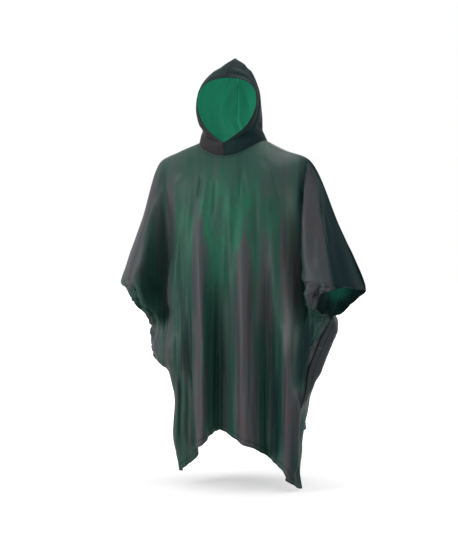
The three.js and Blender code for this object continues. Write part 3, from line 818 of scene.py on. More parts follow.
@dataclass(frozen=True)
class Panel:
    """Front or back half of the rectangular sheet, from the shoulder line to the hem."""

    name: str
    facing: Facing
    sections: Table
    right_edge: Table
    left_edge: Table
    folds: Table
    creases: Table
    cuff_creases: Table
    # Tables and patches of painted light, painted shade and painted glow:
    tone_bands: Table
    faces: Table
    shades: Table
    pales: Table
    glow: PaintedGlow
    inner_glow: PaintedGlow
    seed: int
    cut: tuple[float, float]
    cut_area: float
    rows: int = 250
    columns: int = 194
    spread: tuple[float, ...] = (0, 0.208, 0.417, 0.617, 0.8, 0.91, 1)

    def outward(self) -> int:
        """Turn of the faces that makes them point out."""
        return -self.facing.value

    def downs(self) -> Array:
        """Places down the panel; one falls on the sleeve tip."""
        return np.linspace(0, 1, self.rows + 1)

    def acrosses(self) -> Array:
        """Places across the panel, closer together over the folds of the sides.

        Returns:
            Places from -1 at the left edge to 1 at the right edge.
        """
        shares = tuple((share, k / (len(self.spread) - 1)) for k, share in enumerate(self.spread))
        place = np.linspace(-1, 1, self.columns + 1)
        return np.sign(place) * Table(("share", "across"), shares).read("across", np.abs(place))

    def half_section(self, down: Array, hand: Hand) -> Array:
        """Plan points of half of each section, from next to the middle out to the edge.

        Args:
            down: Places down the panel.
            hand: Which half.

        Returns:
            Shape (rows, 6, 2).
        """
        get = {name: self.sections.read(name, down) for name in self.sections.names[1:]}
        table = self.right_edge if hand is Hand.RIGHT else self.left_edge
        edge = {name: table.read(name, down) for name in ("x", "y", "in_x", "in_y")}
        reach = np.abs(edge["x"]) / np.abs(self.right_edge.read("x", down)) * hand.value
        points = [
            (reach * get["torso_x"] * 0.54, mix(get["middle_y"], get["torso_y"], 0.26)),
            (reach * get["torso_x"], get["torso_y"]),
            (reach * get["pit_x"], get["pit_y"]),
            (reach * get["arm_x"], get["arm_y"]),
            (edge["x"] + edge["in_x"], edge["y"] + edge["in_y"]),
            (edge["x"], edge["y"]),
        ]
        return np.stack([np.stack(point, -1) for point in points], axis=1)

    def plan(self, across: Array, down: Array) -> Array:
        """Sections in plan: smooth curves through the left half, the middle and the right half.

        Args:
            across: Places across the panel.
            down: Places down the panel.

        Returns:
            Shape (rows, columns, 2).
        """
        middle = np.stack([np.zeros_like(down), self.sections.read("middle_y", down)], -1)[:, None]
        left = self.half_section(down, Hand.LEFT)[:, ::-1]
        points = np.concatenate([left, middle, self.half_section(down, Hand.RIGHT)], axis=1)
        return through_points(points, 6 + 6 * across)

    def heights(self, across: Array, down: Array) -> Array:
        """Heights: from the middle's to the edge's along a sine raised to the row's rise.

        Args:
            across: Places across the panel.
            down: Places down the panel.

        Returns:
            Shape (rows, columns).
        """
        right, left = self.right_edge.read("z", down), self.left_edge.read("z", down)
        edge = np.where(across[None, :] > 0, right[:, None], left[:, None])
        rise = self.sections.read("rise", down)[:, None]
        share = np.sin(np.radians(90) * np.abs(across))[None, :] ** rise
        return mix(self.sections.read("middle_z", down)[:, None], edge, share)

    def relief(self, across: Array, x: Array, z: Array) -> tuple[Array, Array, Array]:
        """Height of the hanging folds, how far they let the hem down and how far they lie over.

        Each fold is a bell across its crest line, which grows on the way down.

        Args:
            across: Places across the panel.
            x: Sideways places of the points.
            z: Heights of the points.

        Returns:
            Height out from the cloth, drop and lean.
        """
        height, drop, over = np.zeros_like(x), np.zeros_like(x), np.zeros_like(x)
        for top_x, hem_x, start_z, full_z, width, rise, fall, lean in self.folds.rows:
            crest = mix(top_x, hem_x, np.clip((z - start_z) / (HEM_Z - start_z), 0, 1))
            bump = ramp(start_z, full_z, z) * np.exp(-(((x - crest) / width) ** 2))
            height += rise * bump
            drop += fall * bump * ramp(-700, HEM_Z, z)
            over += lean * bump
        fade = 1 - ramp(0.78, 0.96, np.abs(across))[None, :]
        return height * fade, drop * fade, over * fade

    def ridge(self, down: Array) -> Array:
        """Where the panel's side edges are sewn to the other panel.

        Args:
            down: Places down the panel.

        Returns:
            True at the sewn points, shape (rows, columns).
        """
        mask = np.zeros((len(down), self.columns + 1), bool)
        mask[:, [0, -1]] = (down <= TIP_DOWN + 1e-6)[:, None]
        return mask

    def fine_relief(self, grid: Array, across: Array, down: Array) -> tuple[Array, Array]:
        """Creases, hanging ripples, the ripple of the hem and the crumples at the cuffs.

        Args:
            grid: Points of the panel with its main folds.
            across: Places across the panel.
            down: Places down the panel.

        Returns:
            Height out from the cloth and sideways shift at every point.
        """
        x, z = grid[..., 0], grid[..., 2]
        side = ramp(0.86, 0.99, np.abs(across))[None, :]
        rows = down[:, None] * np.ones_like(x)
        place = ClothGrid(grid, grid, {}, True).place()
        u, v = place[..., 0], place[..., 1]
        total, shift = line_bumps(x, z, self.creases)
        bunched, _ = line_bumps(x, z, self.cuff_creases)
        total = total * (1 - 0.75 * side) + bunched * ramp(TIP_DOWN, TIP_DOWN + 0.06, rows)
        hang = ramp(-160, -480, z) * (1 - 0.6 * side)
        chest = (1 - ramp(-60, -300, z)) * ramp(0.02, 0.1, rows)
        total += hang * HANGING_RIPPLE.at(u, v, self.seed)
        total += ramp(-420, -860, z) * (1 - side) * LOWER_RIPPLE.at(u, v, self.seed + 1)
        total += chest * CHEST_RIPPLE.at(u, v, self.seed + 2)
        edge = ramp(0.965, 1.0, rows) * (1 - ramp(0.7, 0.86, np.abs(across)))[None, :]
        total += edge * HEM_RIPPLE.at(u, v, self.seed + 3)
        total += self.crumples(u, v, across, rows)
        calm = ramp(0.0, 0.03, rows) * (1 - ramp(0.985, 1.0, np.abs(across))[None, :] * self.on_ridge(rows))
        return total * calm, shift * calm

    def on_ridge(self, rows: Array) -> Array:
        """1 beside the sewn ridge, 0 below the sleeve tip."""
        return 1 - ramp(TIP_DOWN, TIP_DOWN + 0.03, rows)

    def crumples(self, u: Array, v: Array, across: Array, rows: Array) -> Array:
        """Short sharp crumples where the cloth bunches at the cuffs and above the snaps.

        Ripples along both ways of the cloth are folded at zero, which leaves sharp valleys, and
        fade away from the sleeve's opening.

        Args:
            u: Way across the cloth.
            v: Way down the cloth.
            across: Places across the panel.
            rows: Places down the panel at every point.

        Returns:
            Height out from the cloth.
        """
        near = ramp(0.66, 0.9, np.abs(across))[None, :]
        cuff = ramp(0.37, 0.46, rows) * (1 - ramp(0.62, 0.74, rows))
        waves = np.abs(CUFF_WAVES.at(0.6 * u + v, u, self.seed + 4)) - 0.7
        fine = np.abs(CUFF_FINE_WAVES.at(v - 0.5 * u, u, self.seed + 5)) - 0.7
        outer = ramp(0.8, 0.95, np.abs(across))[None, :]
        strip = ramp(0.6, 0.68, rows) * (1 - ramp(0.86, 0.95, rows)) * outer
        fade = 1 - 0.5 * ramp(0.97, 1.0, np.abs(across))[None, :]
        return fade * (near * cuff * (3.8 * waves + 1.9 * fine) + strip * (2.2 * waves + 1.5 * fine))

    def surface(self) -> ClothGrid:
        """Finished middle surface with its fields.

        Main folds push the sections out along their plan normals; fine relief is then laid on along
        the surface's normals.

        Returns:
            The cloth, in millimetres.
        """
        across, down = self.acrosses(), self.downs()
        plan, height = self.plan(across, down), self.heights(across, down)
        step = 0.004
        ahead = self.plan(np.minimum(1, across + step), down)
        behind = self.plan(np.maximum(-1, across - step), down)
        out = np.stack([ahead[..., 1] - behind[..., 1], behind[..., 0] - ahead[..., 0]], -1)
        out *= -self.facing.value / np.linalg.norm(out, axis=-1, keepdims=True)
        push, drop, over = self.relief(across, plan[..., 0], height)
        grid = np.dstack([plan + out * push[..., None], height - drop])
        grid[..., 0] += over
        ridge = self.ridge(down)
        grid[..., 1] = np.where(ridge, self.facing.value * SEAM_GAP / 2, grid[..., 1])
        normal = surface_normals(grid, self.outward(), np.zeros_like(ridge), ridge)
        fine, shift = self.fine_relief(grid, across, down)
        grid = grid + normal * fine[..., None]
        grid[..., 0] += np.where(ridge, 0, shift)
        normal = surface_normals(grid, self.outward(), np.zeros_like(ridge), ridge)
        return ClothGrid(grid, normal, self.fields(grid, across, down, push), True)

    def fields(self, grid: Array, across: Array, down: Array, push: Array) -> dict[str, Array]:
        """Painted light and shade, painted glow, distance to the hems and to the seams at every point.

        Beside the sleeves' sewn ridges the painted light and shade and the painted shade run to values that
        both panels share.

        Args:
            grid: Finished points.
            across: Places across the panel.
            down: Places down the panel.
            push: Height of the main folds.

        Returns:
            Fields by name; distances are in metres.
        """
        x, z = grid[..., 0], grid[..., 2]
        free = np.concatenate([
            grid[-1], grid[down >= TIP_DOWN - 1e-6, 0], grid[down >= TIP_DOWN - 1e-6, -1],
        ])
        sewn = np.concatenate([grid[down <= TIP_DOWN, 0], grid[down <= TIP_DOWN, -1]])
        flat = grid.reshape(-1, 3)
        hem = distance_to(flat, free).reshape(x.shape)
        seam = distance_to(flat, sewn).reshape(x.shape)
        neck = distance_to(flat, grid[0]).reshape(x.shape)
        rows = down[:, None]
        # Beside the sewn ridges: painted shade on the right sleeve's side, painted plum sheen on the left.
        ridge = (1 - ramp(10, 75, seam)) * ramp(190, 260, np.abs(x))
        # Painted light and shade from the bands and faces, plus painted shade in the fold troughs and painted
        # sheen on the crests, by the folds' push.
        tone = bands(x, z, self.tone_bands) + flats(x, z, self.faces) + 0.007 * push
        tone = mix(tone, np.where(x > 0, 0.2, 1.3), ridge)
        shade = mix(flats(x, z, self.shades), np.where(x > 0, 0.85, 0.0), ridge)
        # Painted highlight along the tops of the shoulders, stronger on the right.
        strip = (1 - ramp(9, 26, seam)) * ramp(0.0, 0.03, rows) * (1 - ramp(0.05, 0.125, rows))
        thicken = 0.4 * (1 - ramp(18.5, 21.5, hem))
        return {
            "tone": tone,
            "glow": self.glow.at(x, z),
            "shade": shade,
            # Painted light on the inner face at the cuff.
            "inner": self.inner_glow.at(x, z),
            "sleeve": ramp(0.5, 0.75, np.abs(across))[None, :] * (1 - ramp(0.5, 0.62, rows)),
            "hem": hem * MM,
            "seam": seam * MM,
            "pale": np.where(x > 0, 0.9, 0.3) * strip + bands(x, z, self.pales),
            "neck": neck * MM,
            "thicken": thicken * (1 - self.ridge(down)),
        }

    def build(
        self, cloth: ClothGrid, outside: bpy.types.Material, inside: bpy.types.Material,
    ) -> bpy.types.Object:
        """Makes the panel and has it stand for its CAD node.

        Args:
            cloth: Its finished middle surface.
            outside: Finish of the outer face.
            inside: Finish of the inner face.

        Returns:
            The panel's object.
        """
        panel = build_cloth(self.name, cloth, self.outward(), [outside, inside])
        declare(panel, self.name.replace("_cloth", ""))
        return panel


def declare(piece: bpy.types.Object, node: str) -> None:
    """Makes a piece ride on the body and stand for its CAD node.

    Args:
        piece: The finished piece.
        node: CAD node that it replaces.
    """
    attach(piece, "root")
    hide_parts(node)
    log.info("%s: %d faces for %s", piece.name, len(piece.data.polygons), node)


# Hood. The face edge runs from the throat seam (0) to the crown (1).
FACE_EDGE = Table(("along", "x", "y", "z"), (
    (0.00, 0, -100, -35),
    (0.10, 0, -114, 2),
    (0.18, 20, -112, 18),
    (0.27, 46, -107, 38),
    (0.37, 70, -98, 64),
    (0.48, 89, -88, 101),
    (0.59, 97, -80, 138),
    (0.67, 95, -77, 164),
    (0.77, 79, -76, 193),
    (0.85, 54, -78, 209),
    (0.94, 20, -81, 216),
    (1.00, 0, -82, 217),
))

CROWN_SEAM = Table(("along", "y", "z"), (
    (0.00, -82, 217),
    (0.25, -46, 262),
    (0.45, -6, 290),
    (0.70, 50, 276),
    (1.00, 98, 224),
))

BACK_SEAM = Table(("along", "y", "z"), (
    (0.00, 90, 32),
    (0.30, 102, 84),
    (0.65, 112, 150),
    (1.00, 98, 224),
))

# Creases of a hood half in its own coordinates: back (0 face edge, 1 back seam) and up (0 neck, 1 crown).
HOOD_CREASES = {
    Hand.RIGHT: Table(CREASE_NAMES, (
        (0.10, 0.16, 0.34, 0.05, 0.030, -4.0, 0),
        (0.16, 0.30, 0.52, 0.12, 0.035, -3.5, 0),
        (0.22, 0.62, 0.30, 0.20, 0.035, -3.0, 0),
        (0.52, 0.70, 0.60, 0.18, 0.040, 3.0, 0),
        (0.78, 0.66, 0.82, 0.16, 0.035, -3.0, 0),
        (0.20, 0.86, 0.62, 0.80, 0.040, -3.5, 0),
    )),
    Hand.LEFT: Table(CREASE_NAMES, (
        (0.08, 0.14, 0.30, 0.04, 0.030, -4.0, 0),
        (0.14, 0.26, 0.46, 0.10, 0.035, -3.5, 0),
        (0.26, 0.60, 0.34, 0.22, 0.035, -3.0, 0),
        (0.56, 0.66, 0.62, 0.16, 0.040, 3.0, 0),
        (0.80, 0.62, 0.84, 0.14, 0.035, -3.0, 0),
        (0.24, 0.88, 0.58, 0.82, 0.040, -3.0, 0),
    )),
}


@dataclass(frozen=True)
class HeadPose:
    """Turn and lean of the hood above the neck seam."""

    turn: float = 8.0
    lean_x: float = -13.0
    full_up: float = 0.45
    straight_low: float = 215.0
    straight_high: float = 290.0

    def moved(self, points: Array, up: Array) -> Array:
        """Turns and leans points by a share that grows up the hood.

        Args:
            points: Shape (rows, columns, 3).
            up: Share up the hood of each row.

        Returns:
            Moved points.
        """
        share = ramp(0, self.full_up, up)[:, None]
        turn = np.radians(self.turn) * share
        lean = self.lean_x * share * (1 - ramp(self.straight_low, self.straight_high, points[..., 2]))
        x = points[..., 0] * np.cos(turn) - points[..., 1] * np.sin(turn) + lean
        y = points[..., 0] * np.sin(turn) + points[..., 1] * np.cos(turn)
        return np.stack([x, y, points[..., 2]], -1)


@dataclass(frozen=True)
class HoodHalf:
    """One half of the hood, from the face edge round to the crown and back seam."""

    name: str
    hand: Hand
    seed: int
    plum_streak_and_sheen: float
    rows: int = 96
    columns: int = 96
    cut: tuple[float, float] = (0.31, 0.36)
    cut_area: float = 0.088

    def plain(self, back: Array, up: Array) -> Array:
        """Upright half hood: a surface blended between its four edges, bowed out over the head.

        Args:
            back: Shares from the face edge to the back.
            up: Shares from the neck to the crown.

        Returns:
            Points, shape (up, back, 3).
        """
        neck = NeckLine().point(180 * back, self.hand)[None]
        column, row = up[:, None], back[None, :]
        top, nape = CROWN_SEAM.rows[-1], BACK_SEAM.rows[0]

        def blend(name: str, axis: int) -> Array:
            """One coordinate of the blended surface: rows plus columns less the corners.

            Args:
                name: Column of the edge tables.
                axis: Place of the coordinate in a point.

            Returns:
                Shape (up, back).
            """
            face = FACE_EDGE.read(name, up)[:, None]
            rear = BACK_SEAM.read(name, up)[:, None]
            crown = CROWN_SEAM.read(name, back)[None, :]
            low = mix(FACE_EDGE.rows[0][axis + 1], nape[axis], row)
            high = mix(CROWN_SEAM.rows[0][axis], top[axis], row)
            return mix(face, rear, row) + mix(neck[..., axis], crown, column) - mix(low, high, column)

        y, z = blend("y", 1), blend("z", 2)
        bow = np.sin(math.pi * row) * np.sin(math.pi * column)
        x = np.abs(neck[..., 0]) * (1 - column) + FACE_EDGE.read("x", up)[:, None] * (1 - row)
        x = self.hand.value * (x - (2 + 10 * column) * bow)
        return np.stack([x, y, z + NeckLine().hood_lift * (1 - column)], -1)

    def surface(self) -> ClothGrid:
        """Finished middle surface with its fields.

        The plain half is wrinkled along its normals, with its seams kept square to X, and is then
        turned and leaned with the head's pose.

        Returns:
            The cloth, in millimetres.
        """
        up, back = np.linspace(0, 1, self.rows + 1), np.linspace(0, 1, self.columns + 1)
        grid = self.plain(back, up)
        throat = FACE_EDGE.rows[1][0]
        seam = np.zeros(grid.shape[:2], bool)
        seam[-1] = True
        seam[:, -1] = True
        seam[up <= throat, 0] = True
        grid[..., 0] = np.where(seam, self.hand.value * CLOSED_GAP / 2, grid[..., 0])
        none = np.zeros_like(seam)
        outward = -self.hand.value
        normal = surface_normals(grid, outward, seam, none)
        rows, columns = up[:, None] * np.ones_like(grid[..., 0]), back[None, :] * np.ones_like(grid[..., 0])
        calm = ramp(0, 0.08, rows) * (1 - ramp(0.94, 1, rows))
        calm = calm * (1 - ramp(0.95, 1, columns)) * ramp(0, 0.06, columns)
        fine, _ = line_bumps(columns, rows, HOOD_CREASES[self.hand])
        fine += HOOD_RIPPLE.at(columns * 300, rows * 300, self.seed)
        grid = grid + normal * (calm * fine)[..., None]
        normal = surface_normals(grid, outward, seam, none)
        pose = HeadPose()
        tips = pose.moved(grid + normal, up)
        grid = pose.moved(grid, up)
        normal = tips - grid
        normal /= np.linalg.norm(normal, axis=-1, keepdims=True)
        return ClothGrid(grid, normal, self.fields(grid, seam, rows, columns))

    def fields(self, grid: Array, seam: Array, up: Array, back: Array) -> dict[str, Array]:
        """Painted light and shade, painted glow and distances of the hood half.

        Args:
            grid: Finished points.
            seam: Where it is sewn to the other half.
            up: Share up the hood at every point.
            back: Share to the back at every point.

        Returns:
            Fields by name; distances are in metres.
        """
        flat = grid.reshape(-1, 3)
        free = grid[:, 0][~seam[:, 0]]
        hem = distance_to(flat, free).reshape(up.shape)
        sewn = distance_to(flat, grid[seam]).reshape(up.shape)
        neck = distance_to(flat, grid[0]).reshape(up.shape)
        # Painted sheen: more plum on the lower front of the left half, less on the right; painted shade near
        # the crown towards the face edge.
        tone = self.plum_streak_and_sheen + 0.5 * ramp(0.5, 0.2, up) * -self.hand.value * (1 - ramp(0.3, 0.6, back))
        tone -= 1.3 * np.exp(-(((up - 0.9) / 0.12) ** 2) - ((back - 0.25) / 0.16) ** 2)
        joined = (1 - ramp(4, 60, sewn)) * ramp(0.25, 0.6, up + back)
        # Painted shade on the right half, which turns away from the light, growing towards the back.
        shade = (0.8 if self.hand is Hand.RIGHT else 0.2) * ramp(0.02, 0.35, back)
        return {
            "tone": mix(tone, 0.4, joined),
            "glow": np.zeros_like(up),
            "shade": mix(shade, 0.45, joined),
            # Even share of painted light over the hood's inner face.
            "inner": np.full_like(up, 0.4),
            "sleeve": np.ones_like(up),
            "hem": hem * MM,
            "seam": sewn * MM,
            "pale": np.zeros_like(up),
            "neck": neck * MM,
            "thicken": 0.4 * (1 - ramp(10.5, 13.5, hem)) * (1 - seam),
        }

    def build(self, outside: bpy.types.Material, inside: bpy.types.Material) -> bpy.types.Object:
        """Makes the half hood and has it stand for its CAD node.

        Args:
            outside: Finish of the outer face.
            inside: Finish of the inner face.

        Returns:
            The half hood's object.
        """
        half = build_cloth(self.name, self.surface(), -self.hand.value, [outside, inside])
        declare(half, self.name.replace("_cloth", ""))
        return half


@dataclass(frozen=True)
class SnapButton:
    """One half of the snap below a cuff: a turned cap with a rolled rim and a dished middle."""

    name: str
    panel: Panel
    hand: Hand
    down: float = 0.70
    inset: float = 13.0
    sides: int = 48

    def profile(self) -> Array:
        """Outline of the cap, from the middle of its top to the middle of its foot.

        Returns:
            Rows of radius and height.
        """
        return np.array([
            (0.0, 1.7), (1.6, 1.75), (2.4, 2.1), (3.2, 2.55), (4.4, 2.75), (5.5, 2.6),
            (6.4, 2.1), (6.9, 1.5), (7.0, 1.0), (6.8, 0.6), (6.0, 0.45), (0.0, 0.45),
        ])

    def frame(self, cloth: ClothGrid) -> tuple[Array, Array]:
        """Place and outward direction of the button on the panel's cloth.

        Args:
            cloth: The panel's middle surface.

        Returns:
            Middle point on the outer face and unit normal.
        """
        row = int(round(self.down * self.panel.rows))
        line = cloth.points[row]
        edge = -1 if self.hand is Hand.RIGHT else 0
        reach = np.linalg.norm(line - line[edge], axis=-1)
        place, middle = np.arange(len(line)), len(line) // 2
        side = place > middle if self.hand is Hand.RIGHT else place < middle
        column = int(np.argmin(np.where(side, np.abs(reach - self.inset), 1e9)))
        around = cloth.normals[row - 1:row + 2, column - 1:column + 2].reshape(-1, 3).mean(axis=0)
        normal = around / np.linalg.norm(around)
        return line[column] + normal * (WALL / 2 + 0.4), normal

    def build(self, cloth: ClothGrid, finish: bpy.types.Material) -> bpy.types.Object:
        """Turns the profile about the normal and closes it at both middles.

        Args:
            cloth: Middle surface of the panel that carries it.
            finish: Material of the cap.

        Returns:
            The button's object.
        """
        place, out = self.frame(cloth)
        first = np.cross(out, np.array([0.0, 0.0, 1.0]))
        first /= np.linalg.norm(first)
        second = np.cross(out, first)
        profile = self.profile()
        turn = np.linspace(0, 2 * math.pi, self.sides, endpoint=False)
        around = np.cos(turn)[:, None] * first + np.sin(turn)[:, None] * second
        rings = place + profile[1:-1, 0, None, None] * around[None] + profile[1:-1, 1, None, None] * out
        top, foot = place + profile[0, 1] * out, place + profile[-1, 1] * out
        points = np.concatenate([rings.reshape(-1, 3), top[None], foot[None]]) * MM
        n, count = self.sides, len(profile) - 2
        k = np.arange(n)
        ahead = (k + 1) % n
        quads = [
            np.stack([i * n + k, (i + 1) * n + k, (i + 1) * n + ahead, i * n + ahead], -1)
            for i in range(count - 1)
        ]
        caps = [
            np.stack([np.full(n, count * n), k, ahead], -1),
            np.stack([np.full(n, count * n + 1), (count - 1) * n + ahead, (count - 1) * n + k], -1),
        ]
        faces = [face for group in (*quads, *caps) for face in group.tolist()]
        mesh = bpy.data.meshes.new(self.name)
        mesh.from_pydata(points.tolist(), [], faces)
        mesh.polygons.foreach_set("use_smooth", np.ones(len(faces), bool))
        mesh.materials.append(finish)
        mesh.update()
        button = bpy.data.objects.new(self.name, mesh)
        bpy.context.scene.collection.objects.link(button)
        declare(button, self.name.replace("_cap", ""))
        return button


class Value:
    """A number in a material: arithmetic on it adds Math nodes."""

    def __init__(self, maker: "Maker", socket: bpy.types.NodeSocket) -> None:
        """Keeps the maker and the output socket."""
        self.maker = maker
        self.socket = socket

    def math(self, operation: str, *others: Any) -> "Value":
        """Result of a Math node on this and the other numbers."""
        return self.maker.math(operation, self, *others)

    def __add__(self, other: Any) -> "Value":
        """Sum."""
        return self.math("ADD", other)

    __radd__ = __add__

    def __sub__(self, other: Any) -> "Value":
        """Difference."""
        return self.math("SUBTRACT", other)

    def __rsub__(self, other: Any) -> "Value":
        """Difference from a number."""
        return self.maker.math("SUBTRACT", other, self)

    def __mul__(self, other: Any) -> "Value":
        """Product."""
        return self.math("MULTIPLY", other)

    __rmul__ = __mul__

    def smooth(self, low: float, high: float) -> "Value":
        """Smooth climb from 0 to 1 between two values.

        Args:
            low: Where it starts.
            high: Where it ends.

        Returns:
            The climb.
        """
        node = self.maker.node(
            "ShaderNodeMapRange", {"interpolation_type": "SMOOTHSTEP"},
            {"Value": self, "From Min": low, "From Max": high},
        )
        return Value(self.maker, node.outputs["Result"])

    def within(self, middle: float, half: float, soft: float) -> "Value":
        """1 in a band around a value, with soft sides."""
        off = (self - middle).math("ABSOLUTE")
        return 1 - off.smooth(half, half + soft)


class Maker:
    """Builds one material's nodes."""

    def __init__(self, name: str) -> None:
        """Starts an empty material with a Principled shader.

        Args:
            name: Material name.
        """
        self.material = bpy.data.materials.new(name)
        self.material.use_nodes = True
        self.tree = self.material.node_tree
        self.tree.nodes.clear()
        self.shader = self.node("ShaderNodeBsdfPrincipled", {}, {})
        output = self.node("ShaderNodeOutputMaterial", {}, {})
        self.tree.links.new(self.shader.outputs["BSDF"], output.inputs["Surface"])

    def node(self, kind: str, settings: dict[str, Any], sockets: dict[Any, Any]) -> bpy.types.Node:
        """Adds a node, first its settings, then the values or links of its sockets.

        Args:
            kind: Node type.
            settings: Properties of the node.
            sockets: Values or outputs by socket name or number.

        Returns:
            The node.
        """
        node = self.tree.nodes.new(kind)
        for key, setting in settings.items():
            setattr(node, key, setting)
        for key, given in sockets.items():
            self.feed(node.inputs[key], given)
        return node

    def feed(self, target: bpy.types.NodeSocket, given: Any) -> None:
        """Links an output to a socket, or sets the socket's value.

        Args:
            target: Input socket.
            given: Number, colour, value or output socket.
        """
        source = given.socket if isinstance(given, Value) else given
        if isinstance(source, bpy.types.NodeSocket):
            self.tree.links.new(source, target)
        else:
            target.default_value = source

    def math(self, operation: str, *given: Any) -> Value:
        """Math node on numbers and values."""
        node = self.node("ShaderNodeMath", {"operation": operation}, dict(enumerate(given)))
        return Value(self, node.outputs[0])

    def attribute(self, name: str, output: str = "Fac") -> Any:
        """A field that is stored on the mesh.

        Args:
            name: Name of the field.
            output: Output of the node that is read.

        Returns:
            A value for a number, or the output socket of a vector.
        """
        node = self.node("ShaderNodeAttribute", {"attribute_name": name}, {})
        socket = node.outputs[output]
        return Value(self, socket) if output == "Fac" else socket

    def stretched(self, vector: Any, scale: tuple[float, float, float]) -> Any:
        """A vector with its own scale along each axis."""
        node = self.node("ShaderNodeMapping", {}, {"Vector": vector, "Scale": scale})
        return node.outputs["Vector"]

    def noise(self, vector: Any, scale: float, detail: float = 2.0, rough: float = 0.5) -> Value:
        """Noise between 0 and 1.

        Args:
            vector: Where it is read.
            scale: Number of bumps in a metre.
            detail: Layers of finer noise.
            rough: Strength of the finer layers.

        Returns:
            The noise.
        """
        node = self.node(
            "ShaderNodeTexNoise", {},
            {"Vector": vector, "Scale": scale, "Detail": detail, "Roughness": rough},
        )
        return Value(self, node.outputs["Fac"])

    def blend(self, share: Any, first: Any, second: Any) -> Any:
        """Colour between two colours.

        Args:
            share: Share of the second colour.
            first: Colour at share 0.
            second: Colour at share 1.

        Returns:
            Output socket of the colour.
        """
        settings = {"data_type": "RGBA", "blend_type": "MIX"}
        node = self.node("ShaderNodeMix", settings, {0: share, 6: first, 7: second})
        return node.outputs[2]

    def bump(self, height: Value, strength: float = 1.0) -> Any:
        """Normal from a height in millimetres."""
        node = self.node("ShaderNodeBump", {}, {"Strength": strength, "Distance": MM, "Height": height})
        return node.outputs["Normal"]

    def finish(self, **sockets: Any) -> bpy.types.Material:
        """Feeds the shader's sockets and returns the material.

        Args:
            **sockets: Values by socket name with _ for a space.

        Returns:
            The material.
        """
        for name, given in sockets.items():
            self.feed(self.shader.inputs[name.replace("_", " ")], given)
        return self.material


Colour = tuple[float, float, float, float]


